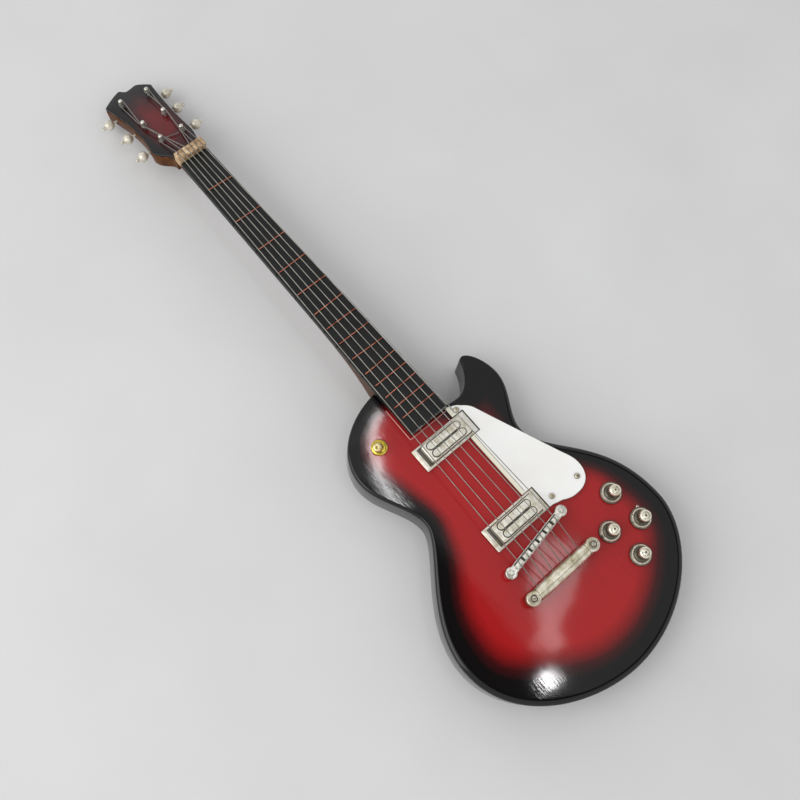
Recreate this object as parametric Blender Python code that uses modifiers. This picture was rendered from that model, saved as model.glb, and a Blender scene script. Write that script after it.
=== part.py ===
"""Miniature single-cutaway solid-body guitar, lying on its back.

All sizes are in metres.  X runs across the strings towards the treble side, Y runs from the
tail end of the body towards the headstock, and Z points up out of the top.  While the pieces
are made, Y is measured from the tail end; at the end everything moves back by half the length,
so that the origin is under the middle of the whole guitar.
"""
import math

import bmesh
import bpy
from mathutils import Matrix, Vector

MM = 0.001

# Gaps between pieces that touch
SEAT = 0.2 * MM
RUN = 0.25 * MM

# Body outline: each reach is measured along the body from the feature before it
BODY_DEPTH = 12.5 * MM
LOWER_BOUT_TREBLE = 41.3 * MM
LOWER_BOUT_BASS = 40.9 * MM
LOWER_BOUT_Y = 32.5 * MM
WAIST_TREBLE = 21.9 * MM
WAIST_TREBLE_REACH = 43.1 * MM
WAIST_BASS = 21.3 * MM
WAIST_BASS_REACH = 39.5 * MM
UPPER_BOUT_TREBLE = 28.9 * MM
UPPER_BOUT_BASS = 28.6 * MM
UPPER_BOUT_REACH = 18.6 * MM
HORN_TIP_X = 23.4 * MM
HORN_REACH = 11.1 * MM
HORN_INNER_X = 1.6 * MM
HORN_INNER_DROP = 1.5 * MM
CUTAWAY_X = 13.0 * MM
CUTAWAY_DEPTH = 9.6 * MM
CUTAWAY_HEEL_RISE = 3.4 * MM
SHOULDER_REACH = 8.0 * MM
SHOULDER_LAP = 0.8 * MM
TOP_ROUND_WIDTH = 6.0 * MM
TOP_ROUND_DROP = 2.2 * MM
BACK_ROUND = 0.8 * MM

# Neck
NECK_TOP_ABOVE_BODY = 1.6 * MM
NECK_REACH = 100.6 * MM
NECK_INSET = 0.35 * MM
TENON_HALF = 5.2 * MM
TENON_SHORT = 1.5 * MM
TENON_DEPTH = 8.0 * MM
SHAFT_DEPTH = 4.9 * MM
HEEL_LIFT = 0.8 * MM
HEEL_RAMP = 31.0 * MM

# Fingerboard, nut and frets
BOARD_LAP = 18.3 * MM
BOARD_HALF_END = 7.2 * MM
BOARD_HALF_NUT = 5.2 * MM
BOARD_THICK = 2.5 * MM
NUT_LENGTH = 3.4 * MM
NUT_HALF = 5.5 * MM
NUT_RISE = 2.1 * MM
NUT_ROUND = 0.5 * MM
FRET_SPACING = (13.9, 14.6, 12.3, 10.4, 9.9, 8.4, 6.4, 6.3, 6.6, 6.0, 5.1, 4.7, 4.4, 4.1)
FRET_TURNS = (-3, -1, 0, 1, -1, 1, -1, 0, -2, 2, 0, 2, 1, 0)
FRET_END_GAP = 5.8 * MM
FRET_WIDTH = 0.55 * MM
FRET_THICK = 0.3 * MM
FRET_BASS_MARGIN = 1.1 * MM
FRET_TREBLE_MARGIN = 0.2 * MM

# Headstock
HEAD_PITCH = math.radians(13)
HEAD_THICK = 4.4 * MM
HEAD_ROOT_HALF = 5.4 * MM
HEAD_FLARE_TREBLE = 6.8 * MM
HEAD_FLARE_BASS = 9.4 * MM
HEAD_FLARE_ALONG = 9.0 * MM
HEAD_MID_TREBLE = 6.7 * MM
HEAD_MID_BASS = 7.6 * MM
HEAD_END_TREBLE = 8.3 * MM
HEAD_END_BASS = 10.1 * MM
HEAD_TIP_TREBLE = 39.0 * MM
HEAD_TIP_BASS = 40.6 * MM
HEAD_LOBE_TREBLE = 3.9 * MM
HEAD_LOBE_BASS = 2.3 * MM
HEAD_CORNER = 3.8 * MM
HEAD_DIP = 2.0 * MM
FACE_THICK = 0.8 * MM
FACE_INSET = 0.15 * MM

# Posts and keys on the headstock: out from its centre line, along its face from the nut
POSTS_BASS = [(4.0 * MM, 9.5 * MM), (4.8 * MM, 19.2 * MM), (5.0 * MM, 33.1 * MM)]
POSTS_TREBLE = [(3.8 * MM, 8.4 * MM), (3.6 * MM, 19.2 * MM), (4.8 * MM, 31.6 * MM)]
POST_RADIUS = 0.5 * MM
POST_CAP_RADIUS = 0.7 * MM
POST_CAP_HEIGHT = 0.65 * MM
POST_HEIGHT = 3.0 * MM
POST_DEPTH = 3.2 * MM
KEYS_BASS = [(11.6 * MM, 11.7 * MM), (11.0 * MM, 22.2 * MM), (12.2 * MM, 32.4 * MM)]
KEYS_TREBLE = [(9.8 * MM, 11.2 * MM), (9.7 * MM, 22.2 * MM), (10.7 * MM, 30.9 * MM)]
KEY_RADIUS = 1.75 * MM
KEY_PIN_RADIUS = 0.4 * MM
KEY_PIN_DEPTH = 2.2 * MM
KEY_NUB_RADIUS = 0.55 * MM
KEY_NUB_LENGTH = 1.05 * MM

# Strings
STRING_RADIUS = 0.15 * MM
STRING_CLEAR = 0.2 * MM
STRING_NUT_SPAN = 8.2 * MM
STRING_SADDLE_SPAN = 17.4 * MM
STRING_TAIL_SPAN = 17.2 * MM
WIND_PITCH = 0.75 * MM
WIND_STEPS = 10
WIND_LEVELS = [1.3 * MM, 1.65 * MM, 2.1 * MM]
WIND_TURNS = [1.25, 1.5, 1.5]
LOOSE_END = 1.6 * MM

# Pickups
PICKUP_LENGTH = 21.2 * MM
PICKUP_WIDTH = 8.1 * MM
PICKUP_X = 0.4 * MM
PICKUP_CORNER = 0.8 * MM
NECK_PICKUP_GAP = 3.55 * MM
BRIDGE_PICKUP_GAP = 4.85 * MM
PICKUP_BASE_HEIGHT = 1.5 * MM
PICKUP_FLANGE_HEIGHT = 0.7 * MM
PICKUP_FLANGE_STEP = 0.35 * MM
PICKUP_FLANGE_TAPER = 0.1 * MM
PICKUP_RIM = 1.7 * MM
PICKUP_RIM_SIDE = 0.75 * MM
PICKUP_COVER_TOP = 3.3 * MM
PICKUP_COVER_ROUND = 0.6 * MM
PICKUP_PAD_LENGTH = 13.4 * MM
PICKUP_PAD_WIDTH = 1.9 * MM
PICKUP_PAD_SPREAD = 2.7 * MM
PICKUP_PAD_RISE = 0.4 * MM

# Bridge
BRIDGE_HALF_SPAN = 12.3 * MM
BRIDGE_TO_BOARD = 48.6 * MM
BRIDGE_SLANT = math.radians(9.1)
BRIDGE_WIDTH = 2.5 * MM
BRIDGE_END_RADIUS = 1.8 * MM
BRIDGE_THICK = 1.7 * MM
BRIDGE_ROUND = 0.25 * MM
BRIDGE_STEM_RISE = 0.3 * MM
BRIDGE_STEM_RADIUS = 0.8 * MM
BRIDGE_COLLAR_RADIUS = 1.5 * MM
SADDLE_WIDTH = 1.9 * MM
SADDLE_LENGTH = 2.1 * MM
SADDLE_HEIGHT = 1.1 * MM
SADDLE_LIFT = 0.8 * MM
SADDLE_SHOULDER = 0.4 * MM
STUD_DEPTH = 5.0 * MM

# Tailpiece
TAIL_TO_BRIDGE = 11.6 * MM
TAIL_HALF_SPAN = 12.3 * MM
TAIL_RADIUS = 2.3 * MM
TAIL_END_RADIUS = 1.75 * MM
TAIL_AXIS_HEIGHT = 2.7 * MM
TAIL_LUG_RADIUS = 2.2 * MM
TAIL_LUG_FLOOR = 0.9 * MM
TAIL_LUG_HEIGHT = 3.6 * MM
TAIL_STUD_RADIUS = 0.8 * MM
TAIL_STUD_HEAD_RADIUS = 1.3 * MM
TAIL_STUD_HEAD_HEIGHT = 0.6 * MM

# Guard: the tip and corner are measured from the neck pickup's middle, the rest from the bridge pickup's
GUARD_THICK = 1.0 * MM
GUARD_CHAMFER = 0.35 * MM
GUARD_STRING_X = 7.1 * MM
GUARD_TIP_RISE = 8.2 * MM
GUARD_CORNER_X = 14.7 * MM
GUARD_CORNER_RISE = 2.2 * MM
GUARD_BOUT_X = 27.9 * MM
GUARD_BOUT_RISE = 0.2 * MM
GUARD_FOOT_X = 21.5 * MM
GUARD_FOOT_DROP = 6.4 * MM
GUARD_HEEL_DROP = 3.9 * MM
GUARD_TIP_SCREW = (2.5 * MM, 5.3 * MM)
GUARD_HEEL_SCREW = (2.7 * MM, 1.9 * MM)
GUARD_BOUT_SCREW = (3.6 * MM, 2.6 * MM)
SCREW_HEAD_RADIUS = 0.9 * MM
SCREW_HEAD_HEIGHT = 0.45 * MM
SCREW_SHANK_RADIUS = 0.4 * MM
SCREW_DEPTH = 3.0 * MM

# Controls: outer knobs sit in from the lower bout's edge, inner ones out from the tailpiece's stud
OUTER_KNOB_INSETS = [12.3 * MM, 10.7 * MM]
INNER_KNOB_OUTSETS = [8.0 * MM, 10.3 * MM]
KNOB_BEHIND = [4.2 * MM, 15.8 * MM, 12.5 * MM, 23.6 * MM]
KNOB_SKIRT_RADIUS = 3.5 * MM
KNOB_RING_RADIUS = 3.0 * MM
KNOB_RING_WIDTH = 0.55 * MM
KNOB_NECK_RADIUS = 1.55 * MM
KNOB_CAP_RADIUS = 1.9 * MM
KNOB_HEIGHT = 5.7 * MM
KNOB_CAP_HEIGHT = 1.3 * MM
KNOB_RING_HEIGHT = 1.5 * MM
KNOB_SKIRT_HEIGHT = 0.8 * MM
KNOB_PIN_RADIUS = 0.6 * MM
KNOB_PIN_DEPTH = 6.0 * MM
INDEX_KNOB = 2
INDEX_TURN = math.radians(62)
INDEX_REACH = 0.75 * MM
INDEX_WIDTH = 1.3 * MM
SWITCH_X = -16.6 * MM
SWITCH_PAST_BOARD = 4.0 * MM
SWITCH_TILT = math.radians(18)
WASHER_RADIUS = 2.6 * MM
WASHER_BORE_RADIUS = 1.15 * MM
WASHER_THICK = 0.6 * MM
LEVER_PIVOT_DEPTH = 0.2 * MM
LEVER_CAP_RADIUS = 1.5 * MM
LEVER_NECK_RADIUS = 0.5 * MM
LEVER_LENGTH = 3.6 * MM
LEVER_CAP_HEIGHT = 1.4 * MM

# Levels above the flat back
BODY_TOP = BODY_DEPTH
NECK_TOP = BODY_TOP + NECK_TOP_ABOVE_BODY
BOARD_FLOOR = NECK_TOP + SEAT
BOARD_TOP = BOARD_FLOOR + BOARD_THICK
NUT_TOP = BOARD_TOP + NUT_RISE
SADDLE_TOP = BOARD_TOP + SADDLE_LIFT
BRIDGE_FLOOR = SADDLE_TOP - SADDLE_HEIGHT - BRIDGE_THICK - BODY_TOP

# Distances from the tail
WAIST_TREBLE_Y = LOWER_BOUT_Y + WAIST_TREBLE_REACH
WAIST_BASS_Y = LOWER_BOUT_Y + WAIST_BASS_REACH
UPPER_BOUT_Y = WAIST_TREBLE_Y + UPPER_BOUT_REACH
HORN_TIP_Y = UPPER_BOUT_Y + HORN_REACH
CUTAWAY_Y = HORN_TIP_Y - CUTAWAY_DEPTH
SHOULDER_Y = HORN_TIP_Y + SHOULDER_REACH
HEEL_Y = SHOULDER_Y - SHOULDER_LAP
BOARD_END_Y = SHOULDER_Y - BOARD_LAP
TENON_END_Y = BOARD_END_Y + TENON_SHORT
NUT_Y = SHOULDER_Y + NECK_REACH
NUT_BACK_Y = NUT_Y + NUT_LENGTH
BRIDGE_Y = BOARD_END_Y - BRIDGE_TO_BOARD
TAIL_Y = BRIDGE_Y - TAIL_TO_BRIDGE
NECK_PICKUP_Y = BOARD_END_Y - NECK_PICKUP_GAP - PICKUP_WIDTH / 2
BRIDGE_PICKUP_Y = BRIDGE_Y + BRIDGE_PICKUP_GAP + PICKUP_WIDTH / 2
PICKUP_EDGE_X = PICKUP_X + PICKUP_LENGTH / 2 + SEAT
GUARD_SCREWS = [
    (GUARD_STRING_X + GUARD_TIP_SCREW[0], NECK_PICKUP_Y + GUARD_TIP_SCREW[1]),
    (GUARD_BOUT_X - GUARD_BOUT_SCREW[0], BRIDGE_PICKUP_Y + GUARD_BOUT_RISE - GUARD_BOUT_SCREW[1]),
    (PICKUP_EDGE_X + GUARD_HEEL_SCREW[0], BRIDGE_PICKUP_Y - GUARD_HEEL_SCREW[1]),
]
KNOB_ACROSS = ([LOWER_BOUT_TREBLE - inset for inset in OUTER_KNOB_INSETS]
               + [TAIL_HALF_SPAN + outset for outset in INNER_KNOB_OUTSETS])
KNOB_SPOTS = [(x, BRIDGE_Y - behind) for x, behind in zip(KNOB_ACROSS, KNOB_BEHIND)]
SWITCH_SPOT = (SWITCH_X, BOARD_END_Y + SWITCH_PAST_BOARD)
HEAD_TIP = max(HEAD_TIP_TREBLE, HEAD_TIP_BASS)
OVERALL_LENGTH = NUT_BACK_Y + SEAT + (HEAD_TIP - FACE_INSET) * math.cos(HEAD_PITCH)
POSTS = [(-x, along) for x, along in POSTS_BASS] + [(x, along) for x, along in POSTS_TREBLE]
KEYS = ([(-1, out, along) for out, along in KEYS_BASS]
        + [(1, out, along) for out, along in KEYS_TREBLE])

HEAD_FRAME = (Matrix.Translation((0, NUT_BACK_Y + SEAT, NECK_TOP + SEAT + FACE_THICK))
              @ Matrix.Rotation(-HEAD_PITCH, 4, "X"))


def clear_scene():
    for obj in list(bpy.data.objects):
        bpy.data.objects.remove(obj, do_unlink=True)


def new_collection(name):
    collection = bpy.data.collections.new(name)
    bpy.context.scene.collection.children.link(collection)
    return collection


def make_material(name, hex_colour, roughness, metallic=0.0):
    """Principled material from an sRGB hex colour."""
    srgb = [int(hex_colour[i:i + 2], 16) / 255 for i in (0, 2, 4)]
    linear = [c / 12.92 if c <= 0.04045 else ((c + 0.055) / 1.055) ** 2.4 for c in srgb]
    material = bpy.data.materials.new(name)
    material.use_nodes = True
    shader = material.node_tree.nodes["Principled BSDF"]
    shader.inputs["Base Color"].default_value = (*linear, 1.0)
    shader.inputs["Roughness"].default_value = roughness
    shader.inputs["Metallic"].default_value = metallic
    material.diffuse_color = (*linear, 1.0)
    return material


def add_object(name, bm, material=None, cutter=False):
    """Turn a bmesh into a named object in the guitar's collection, or a cutter."""
    mesh = bpy.data.meshes.new(name)
    bm.to_mesh(mesh)
    bm.free()
    obj = bpy.data.objects.new(name, mesh)
    if cutter:
        CUTTERS.objects.link(obj)
        obj.hide_render = True
        obj.display_type = "WIRE"
    else:
        GUITAR.objects.link(obj)
        mesh.materials.append(material)
    return obj


def shade_round(obj, angle=math.radians(40)):
    obj.data.shade_smooth()
    obj.data.set_sharp_from_angle(angle=angle)


def boolean(obj, tool, operation="DIFFERENCE"):
    modifier = obj.modifiers.new(operation.title(), "BOOLEAN")
    modifier.operation = operation
    modifier.solver = "EXACT"
    modifier.object = tool


def bezier(p0, p1, p2, p3, steps):
    """Points of a cubic curve, without its last one."""
    points = []
    for i in range(steps):
        t = i / steps
        a, b, c, d = (1 - t) ** 3, 3 * t * (1 - t) ** 2, 3 * t * t * (1 - t), t ** 3
        points.append(tuple(a * w + b * x + c * y + d * z for w, x, y, z in zip(p0, p1, p2, p3)))
    return points


def bm_loft(rings):
    """Closed solid through rings of equal point counts, listed from one end to the other."""
    bm = bmesh.new()
    loops = [[bm.verts.new(p) for p in ring] for ring in rings]
    edges = []
    for loop in loops:
        edges.append([bm.edges.new((loop[i - 1], loop[i])) for i in range(len(loop))])
    for lower, upper in zip(edges, edges[1:]):
        bmesh.ops.bridge_loops(bm, edges=lower + upper)
    bm.faces.new(loops[0])
    bm.faces.new(loops[-1])
    bmesh.ops.recalc_face_normals(bm, faces=bm.faces)
    return bm


def bm_plate(points, floor, top):
    """Flat outline given thickness between two levels."""
    return bm_loft([[(x, y, level) for x, y in points] for level in (floor, top)])


def bm_box(low, high):
    bm = bmesh.new()
    bmesh.ops.create_cube(bm, size=1.0)
    size = [h - l for l, h in zip(low, high)]
    middle = [(h + l) / 2 for l, h in zip(low, high)]
    bmesh.ops.scale(bm, vec=size, verts=bm.verts)
    bmesh.ops.translate(bm, vec=middle, verts=bm.verts)
    return bm


def bm_cylinder(radius, floor, top, x=0.0, y=0.0, sides=16):
    bm = bmesh.new()
    bmesh.ops.create_cone(bm, cap_ends=True, segments=sides, radius1=radius, radius2=radius,
                          depth=top - floor)
    bmesh.ops.translate(bm, vec=(x, y, (floor + top) / 2), verts=bm.verts)
    return bm


def bm_turned(profile, sides=20):
    """Solid turned about Z from (radius, height) points, top to bottom."""
    bm = bmesh.new()
    verts = [bm.verts.new((r, 0, z)) for r, z in profile]
    edges = [bm.edges.new(pair) for pair in zip(verts, verts[1:])]
    bmesh.ops.spin(bm, geom=verts + edges, cent=(0, 0, 0), axis=(0, 0, 1), angle=2 * math.pi,
                   steps=sides, use_merge=True)
    bmesh.ops.remove_doubles(bm, verts=bm.verts, dist=1e-7)
    bmesh.ops.recalc_face_normals(bm, faces=bm.faces)
    return bm


def merge_into(bm, other, matrix=None):
    """Add another bmesh's separate solid to bm."""
    if matrix is not None:
        bmesh.ops.transform(other, matrix=matrix, verts=other.verts)
    mesh = bpy.data.meshes.new("part")
    other.to_mesh(mesh)
    other.free()
    bm.from_mesh(mesh)
    bpy.data.meshes.remove(mesh)


def bm_group(solids):
    """One bmesh that holds several separate solids."""
    bm = bmesh.new()
    for solid in solids:
        merge_into(bm, solid)
    return bm


def soften(obj, width, segments=1, angle=math.radians(50)):
    modifier = obj.modifiers.new("Edges", "BEVEL")
    modifier.width = width
    modifier.segments = segments
    modifier.limit_method = "ANGLE"
    modifier.angle_limit = angle


def tube(name, points, radius, material):
    """Round wire along a poly curve with filled caps."""
    curve = bpy.data.curves.new(name, "CURVE")
    curve.dimensions = "3D"
    curve.bevel_depth = radius
    curve.bevel_resolution = 1
    curve.use_fill_caps = True
    spline = curve.splines.new("POLY")
    spline.points.add(len(points) - 1)
    for point, place in zip(spline.points, points):
        point.co = (*place, 1.0)
    curve.materials.append(material)
    obj = bpy.data.objects.new(name, curve)
    GUITAR.objects.link(obj)
    return obj


def body_outline():
    """Outline points anticlockwise from the tail, each with its share of the top's rounding."""
    bout, waist, upper = LOWER_BOUT_TREBLE, WAIST_TREBLE, UPPER_BOUT_TREBLE
    waist_y, waist_reach, upper_reach = WAIST_TREBLE_Y, WAIST_TREBLE_REACH, UPPER_BOUT_REACH
    horn_in_x, horn_in_y = HORN_TIP_X - HORN_INNER_X, HORN_TIP_Y - HORN_INNER_DROP
    heel = board_half(HEEL_Y) - NECK_INSET + SEAT
    throat = CUTAWAY_Y + CUTAWAY_HEEL_RISE
    treble = [
        ((0, 0), (bout * 0.53, 0), (bout, LOWER_BOUT_Y * 0.51), (bout, LOWER_BOUT_Y), 8, 1.0, 1.0),
        ((bout, LOWER_BOUT_Y), (bout, LOWER_BOUT_Y + 0.58 * waist_reach),
         (waist, waist_y - 0.27 * waist_reach), (waist, waist_y), 8, 1.0, 1.0),
        ((waist, waist_y), (waist, waist_y + 0.31 * upper_reach),
         (upper, UPPER_BOUT_Y - 0.4 * upper_reach), (upper, UPPER_BOUT_Y), 5, 1.0, 0.6),
        ((upper, UPPER_BOUT_Y), (upper, UPPER_BOUT_Y + 0.5 * HORN_REACH),
         (HORN_TIP_X + 2.4 * MM, HORN_TIP_Y), (HORN_TIP_X, HORN_TIP_Y), 5, 0.6, 0.2),
        ((HORN_TIP_X, HORN_TIP_Y), (HORN_TIP_X - 0.56 * HORN_INNER_X, HORN_TIP_Y),
         (horn_in_x, horn_in_y + 0.6 * HORN_INNER_DROP), (horn_in_x, horn_in_y), 2, 0.2, 0.2),
        ((horn_in_x, horn_in_y), (horn_in_x - 1.1 * MM, horn_in_y - 0.42 * (horn_in_y - CUTAWAY_Y)),
         (CUTAWAY_X + 0.52 * (horn_in_x - CUTAWAY_X), CUTAWAY_Y), (CUTAWAY_X, CUTAWAY_Y), 5, 0.2, 0.35),
        ((CUTAWAY_X, CUTAWAY_Y), (CUTAWAY_X - 0.53 * (CUTAWAY_X - heel), CUTAWAY_Y),
         (heel + 0.05 * (CUTAWAY_X - heel), throat - 0.8 * CUTAWAY_HEEL_RISE), (heel, throat), 4, 0.35, 0.06),
    ]
    bout, waist, upper = LOWER_BOUT_BASS, WAIST_BASS, UPPER_BOUT_BASS
    waist_y, waist_reach, upper_reach = WAIST_BASS_Y, WAIST_BASS_REACH, UPPER_BOUT_Y - WAIST_BASS_Y
    bass = [
        ((-heel, SHOULDER_Y), (-heel - 0.41 * (upper - heel), SHOULDER_Y - 0.5 * MM),
         (-upper, UPPER_BOUT_Y + 0.63 * (SHOULDER_Y - UPPER_BOUT_Y)), (-upper, UPPER_BOUT_Y),
         8, 0.06, 1.0),
        ((-upper, UPPER_BOUT_Y), (-upper, UPPER_BOUT_Y - 0.36 * upper_reach),
         (-waist, waist_y + 0.31 * upper_reach), (-waist, waist_y), 5, 1.0, 1.0),
        ((-waist, waist_y), (-waist, waist_y - 0.2 * waist_reach),
         (-bout, LOWER_BOUT_Y + 0.47 * waist_reach), (-bout, LOWER_BOUT_Y), 8, 1.0, 1.0),
        ((-bout, LOWER_BOUT_Y), (-bout, LOWER_BOUT_Y * 0.36), (-bout * 0.43, 0), (0, 0), 8, 1.0, 1.0),
    ]
    points = []
    for *curve, steps, first, last in treble:
        for i, place in enumerate(bezier(*curve, steps)):
            points.append((*place, first + (last - first) * i / steps))
    points += [(heel, throat, 0.06), (heel, HEEL_Y, 0.06), (-heel, HEEL_Y, 0.06)]
    for *curve, steps, first, last in bass:
        for i, place in enumerate(bezier(*curve, steps)):
            points.append((*place, first + (last - first) * i / steps))
    return points


def inset_ring(points, inset, level):
    """The outline moved inwards by inset times each point's share."""
    ring = []
    count = len(points)
    for i, (x, y, share) in enumerate(points):
        before, after = Vector(points[i - 1][:2]), Vector(points[(i + 1) % count][:2])
        here = Vector((x, y))
        ahead, behind = (after - here).normalized(), (here - before).normalized()
        normal = Vector((-ahead.y - behind.y, ahead.x + behind.x)).normalized()
        stretch = max(0.5, normal.dot(Vector((-ahead.y, ahead.x))))
        moved = here + normal * (inset * share / stretch)
        ring.append((moved.x, moved.y, level))
    return ring


def make_body():
    points = body_outline()
    rings = [inset_ring(points, BACK_ROUND, 0.0), inset_ring(points, 0.0, BACK_ROUND)]
    for i in range(5):
        turn = math.radians(90 * i / 4)
        rings.append(inset_ring(points, TOP_ROUND_WIDTH * (1 - math.cos(turn)),
                                BODY_TOP - TOP_ROUND_DROP * (1 - math.sin(turn))))
    body = add_object("body", bm_loft(rings), BODY_RED)
    shade_round(body, math.radians(35))

    pocket = bm_box((-TENON_HALF - SEAT, TENON_END_Y - SEAT, NECK_TOP - TENON_DEPTH - SEAT),
                    (TENON_HALF + SEAT, HEEL_Y + 1 * MM, BODY_TOP + 1 * MM))
    boolean(body, add_object("neck_pocket_cutter", pocket, cutter=True))

    holes = []
    for x, y in KNOB_SPOTS:
        holes.append((x, y, KNOB_PIN_RADIUS + RUN, KNOB_PIN_DEPTH + SEAT, 20))
    for x, y in bridge_post_spots():
        holes.append((x, y, BRIDGE_STEM_RADIUS + SEAT, STUD_DEPTH + SEAT, 12))
    for side in (-1, 1):
        holes.append((side * TAIL_HALF_SPAN, TAIL_Y, TAIL_STUD_RADIUS + SEAT, STUD_DEPTH + SEAT, 12))
    for x, y in GUARD_SCREWS:
        holes.append((x, y, SCREW_SHANK_RADIUS + SEAT, SCREW_DEPTH + SEAT, 8))
    holes.append((*SWITCH_SPOT, WASHER_BORE_RADIUS, LEVER_PIVOT_DEPTH + LEVER_CAP_RADIUS, 16))
    drills = [bm_cylinder(radius, BODY_TOP - depth, BODY_TOP + 1 * MM, x, y, sides)
              for x, y, radius, depth, sides in holes]
    boolean(body, add_object("body_drill_cutter", bm_group(drills), cutter=True))


def board_half(y):
    """Half the fingerboard's width at a distance from the tail."""
    share = (y - BOARD_END_Y) / (NUT_Y - BOARD_END_Y)
    return BOARD_HALF_END + (BOARD_HALF_NUT - BOARD_HALF_END) * share


def neck_ring(y, depth, squareness):
    """Flat-topped section whose underside runs from round to nearly square."""
    half = board_half(y) - NECK_INSET
    ring = []
    for i in range(13):
        turn = math.pi * i / 12
        across = math.copysign(abs(math.cos(turn)) ** squareness, math.cos(turn))
        ring.append((half * across, y, NECK_TOP - depth * max(0.0, math.sin(turn)) ** squareness))
    return ring


def head_dip(inset):
    """How far along the face the dip between the tip's two lobes lies."""
    return HEAD_TIP - HEAD_DIP - inset


def head_side(side, inset):
    """One edge of the headstock in the face's own frame, from the nut to the lobe of its tip."""
    if side > 0:
        flare, mid, end = HEAD_FLARE_TREBLE, HEAD_MID_TREBLE, HEAD_END_TREBLE
        lobe, tip = HEAD_LOBE_TREBLE, HEAD_TIP_TREBLE
    else:
        flare, mid, end = HEAD_FLARE_BASS, HEAD_MID_BASS, HEAD_END_BASS
        lobe, tip = HEAD_LOBE_BASS, HEAD_TIP_BASS
    root, flare, mid, end, tip = (size - inset for size in (HEAD_ROOT_HALF, flare, mid, end, tip))
    corner = tip - HEAD_CORNER
    points = [(root, 0.0)]
    points += bezier((root, 0.1 * HEAD_FLARE_ALONG), (root, 0.4 * HEAD_FLARE_ALONG),
                     (flare, 0.5 * HEAD_FLARE_ALONG), (flare, HEAD_FLARE_ALONG), 4)
    points += bezier((flare, HEAD_FLARE_ALONG), (mid, 0.4 * corner), (mid, 0.68 * corner), (end, corner), 5)
    points += bezier((end, corner), (end - 0.1 * (end - lobe), corner + 0.22 * HEAD_CORNER),
                     (lobe + 0.25 * (end - lobe), tip - 0.1 * HEAD_CORNER), (lobe, tip), 5)
    points += bezier((lobe, tip), (0.75 * lobe, tip + 0.02 * HEAD_CORNER),
                     (0.4 * lobe, head_dip(inset)), (0.0, head_dip(inset)), 4)
    return [(side * x, y) for x, y in points]


def head_outline(inset):
    """Headstock outline with a lobe at each side of a shallow dip in its tip."""
    return head_side(1, inset) + [(0.0, head_dip(inset))] + head_side(-1, inset)[::-1]


def make_neck():
    start = HEEL_Y + SEAT
    heel_depth = NECK_TOP - HEEL_LIFT
    sections = []
    for along, deep, squareness in ((0.0, 1.0, 0.3), (0.1, 0.93, 0.33), (0.23, 0.64, 0.42),
                                    (0.42, 0.35, 0.55), (0.68, 0.11, 0.7), (1.0, 0.0, 0.8)):
        depth = SHAFT_DEPTH + deep * (heel_depth - SHAFT_DEPTH)
        sections.append((start + along * HEEL_RAMP, depth, squareness))
    for behind, squareness in ((12.0 * MM, 0.8), (4.0 * MM, 0.7), (-NUT_LENGTH - 1.5 * MM, 0.5)):
        sections.append((NUT_Y - behind, SHAFT_DEPTH, squareness))
    neck = add_object("neck", bm_loft([neck_ring(*section) for section in sections]), NECK_AMBER)
    shade_round(neck)

    tenon = bm_box((-TENON_HALF, TENON_END_Y, NECK_TOP - TENON_DEPTH),
                   (TENON_HALF, start + 2 * MM, NECK_TOP))
    boolean(neck, add_object("tenon_blank", tenon, cutter=True), "UNION")

    slope = bm_box((-HEAD_END_BASS, NUT_BACK_Y, NECK_TOP),
                   (HEAD_END_BASS, NUT_BACK_Y + 6 * MM, NECK_TOP + 3 * MM))
    bmesh.ops.rotate(slope, cent=(0, NUT_BACK_Y, NECK_TOP), matrix=Matrix.Rotation(-HEAD_PITCH, 3, "X"),
                     verts=slope.verts)
    boolean(neck, add_object("nut_slope_cutter", slope, cutter=True))

    top = -FACE_THICK - SEAT
    blank = bm_plate(head_outline(0.0), top - HEAD_THICK, top)
    bmesh.ops.transform(blank, matrix=HEAD_FRAME, verts=blank.verts)
    boolean(neck, add_object("head_blank", blank, cutter=True), "UNION")

    drills = [bm_cylinder(POST_RADIUS + SEAT, top - POST_DEPTH - SEAT, top + 2 * MM, x, along, 10)
              for x, along in POSTS]
    holes = bm_group(drills)
    for side, out, along in KEYS:
        root = key_root(side, along)
        drill = bm_cylinder(KEY_PIN_RADIUS + RUN, root - KEY_PIN_DEPTH - SEAT, out, sides=14)
        merge_into(holes, drill, key_axis(side, along))
    bmesh.ops.transform(holes, matrix=HEAD_FRAME, verts=holes.verts)
    boolean(neck, add_object("head_drill_cutter", holes, cutter=True))


def key_axis(side, along):
    """Turns Z into the side pin's direction, at the middle of the headstock's thickness."""
    middle = -FACE_THICK - SEAT - HEAD_THICK / 2
    return Matrix.Translation((0, along, middle)) @ Matrix.Rotation(side * math.pi / 2, 4, "Y")


def key_root(side, along):
    """How far from the centre line the headstock's edge lies where a side pin leaves it."""
    edge = head_side(side, 0.0)
    for (x0, y0), (x1, y1) in zip(edge, edge[1:]):
        if y0 <= along < y1:
            return abs(x0 + (x1 - x0) * (along - y0) / (y1 - y0))
    return edge[-1][0]


def key_place(side, along, out):
    """The bead's distance from the centre line, clear of the headstock's edge."""
    return max(out, key_root(side, along) + KEY_RADIUS + RUN)


def make_head_face():
    face = bm_plate(head_outline(FACE_INSET), -FACE_THICK, 0.0)
    holes = bm_group([bm_cylinder(POST_RADIUS + SEAT, -2 * MM, 2 * MM, x, along, 10)
                      for x, along in POSTS])
    bmesh.ops.transform(face, matrix=HEAD_FRAME, verts=face.verts)
    bmesh.ops.transform(holes, matrix=HEAD_FRAME, verts=holes.verts)
    obj = add_object("headstock_face", face, BODY_RED)
    boolean(obj, add_object("face_drill_cutter", holes, cutter=True))


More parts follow.
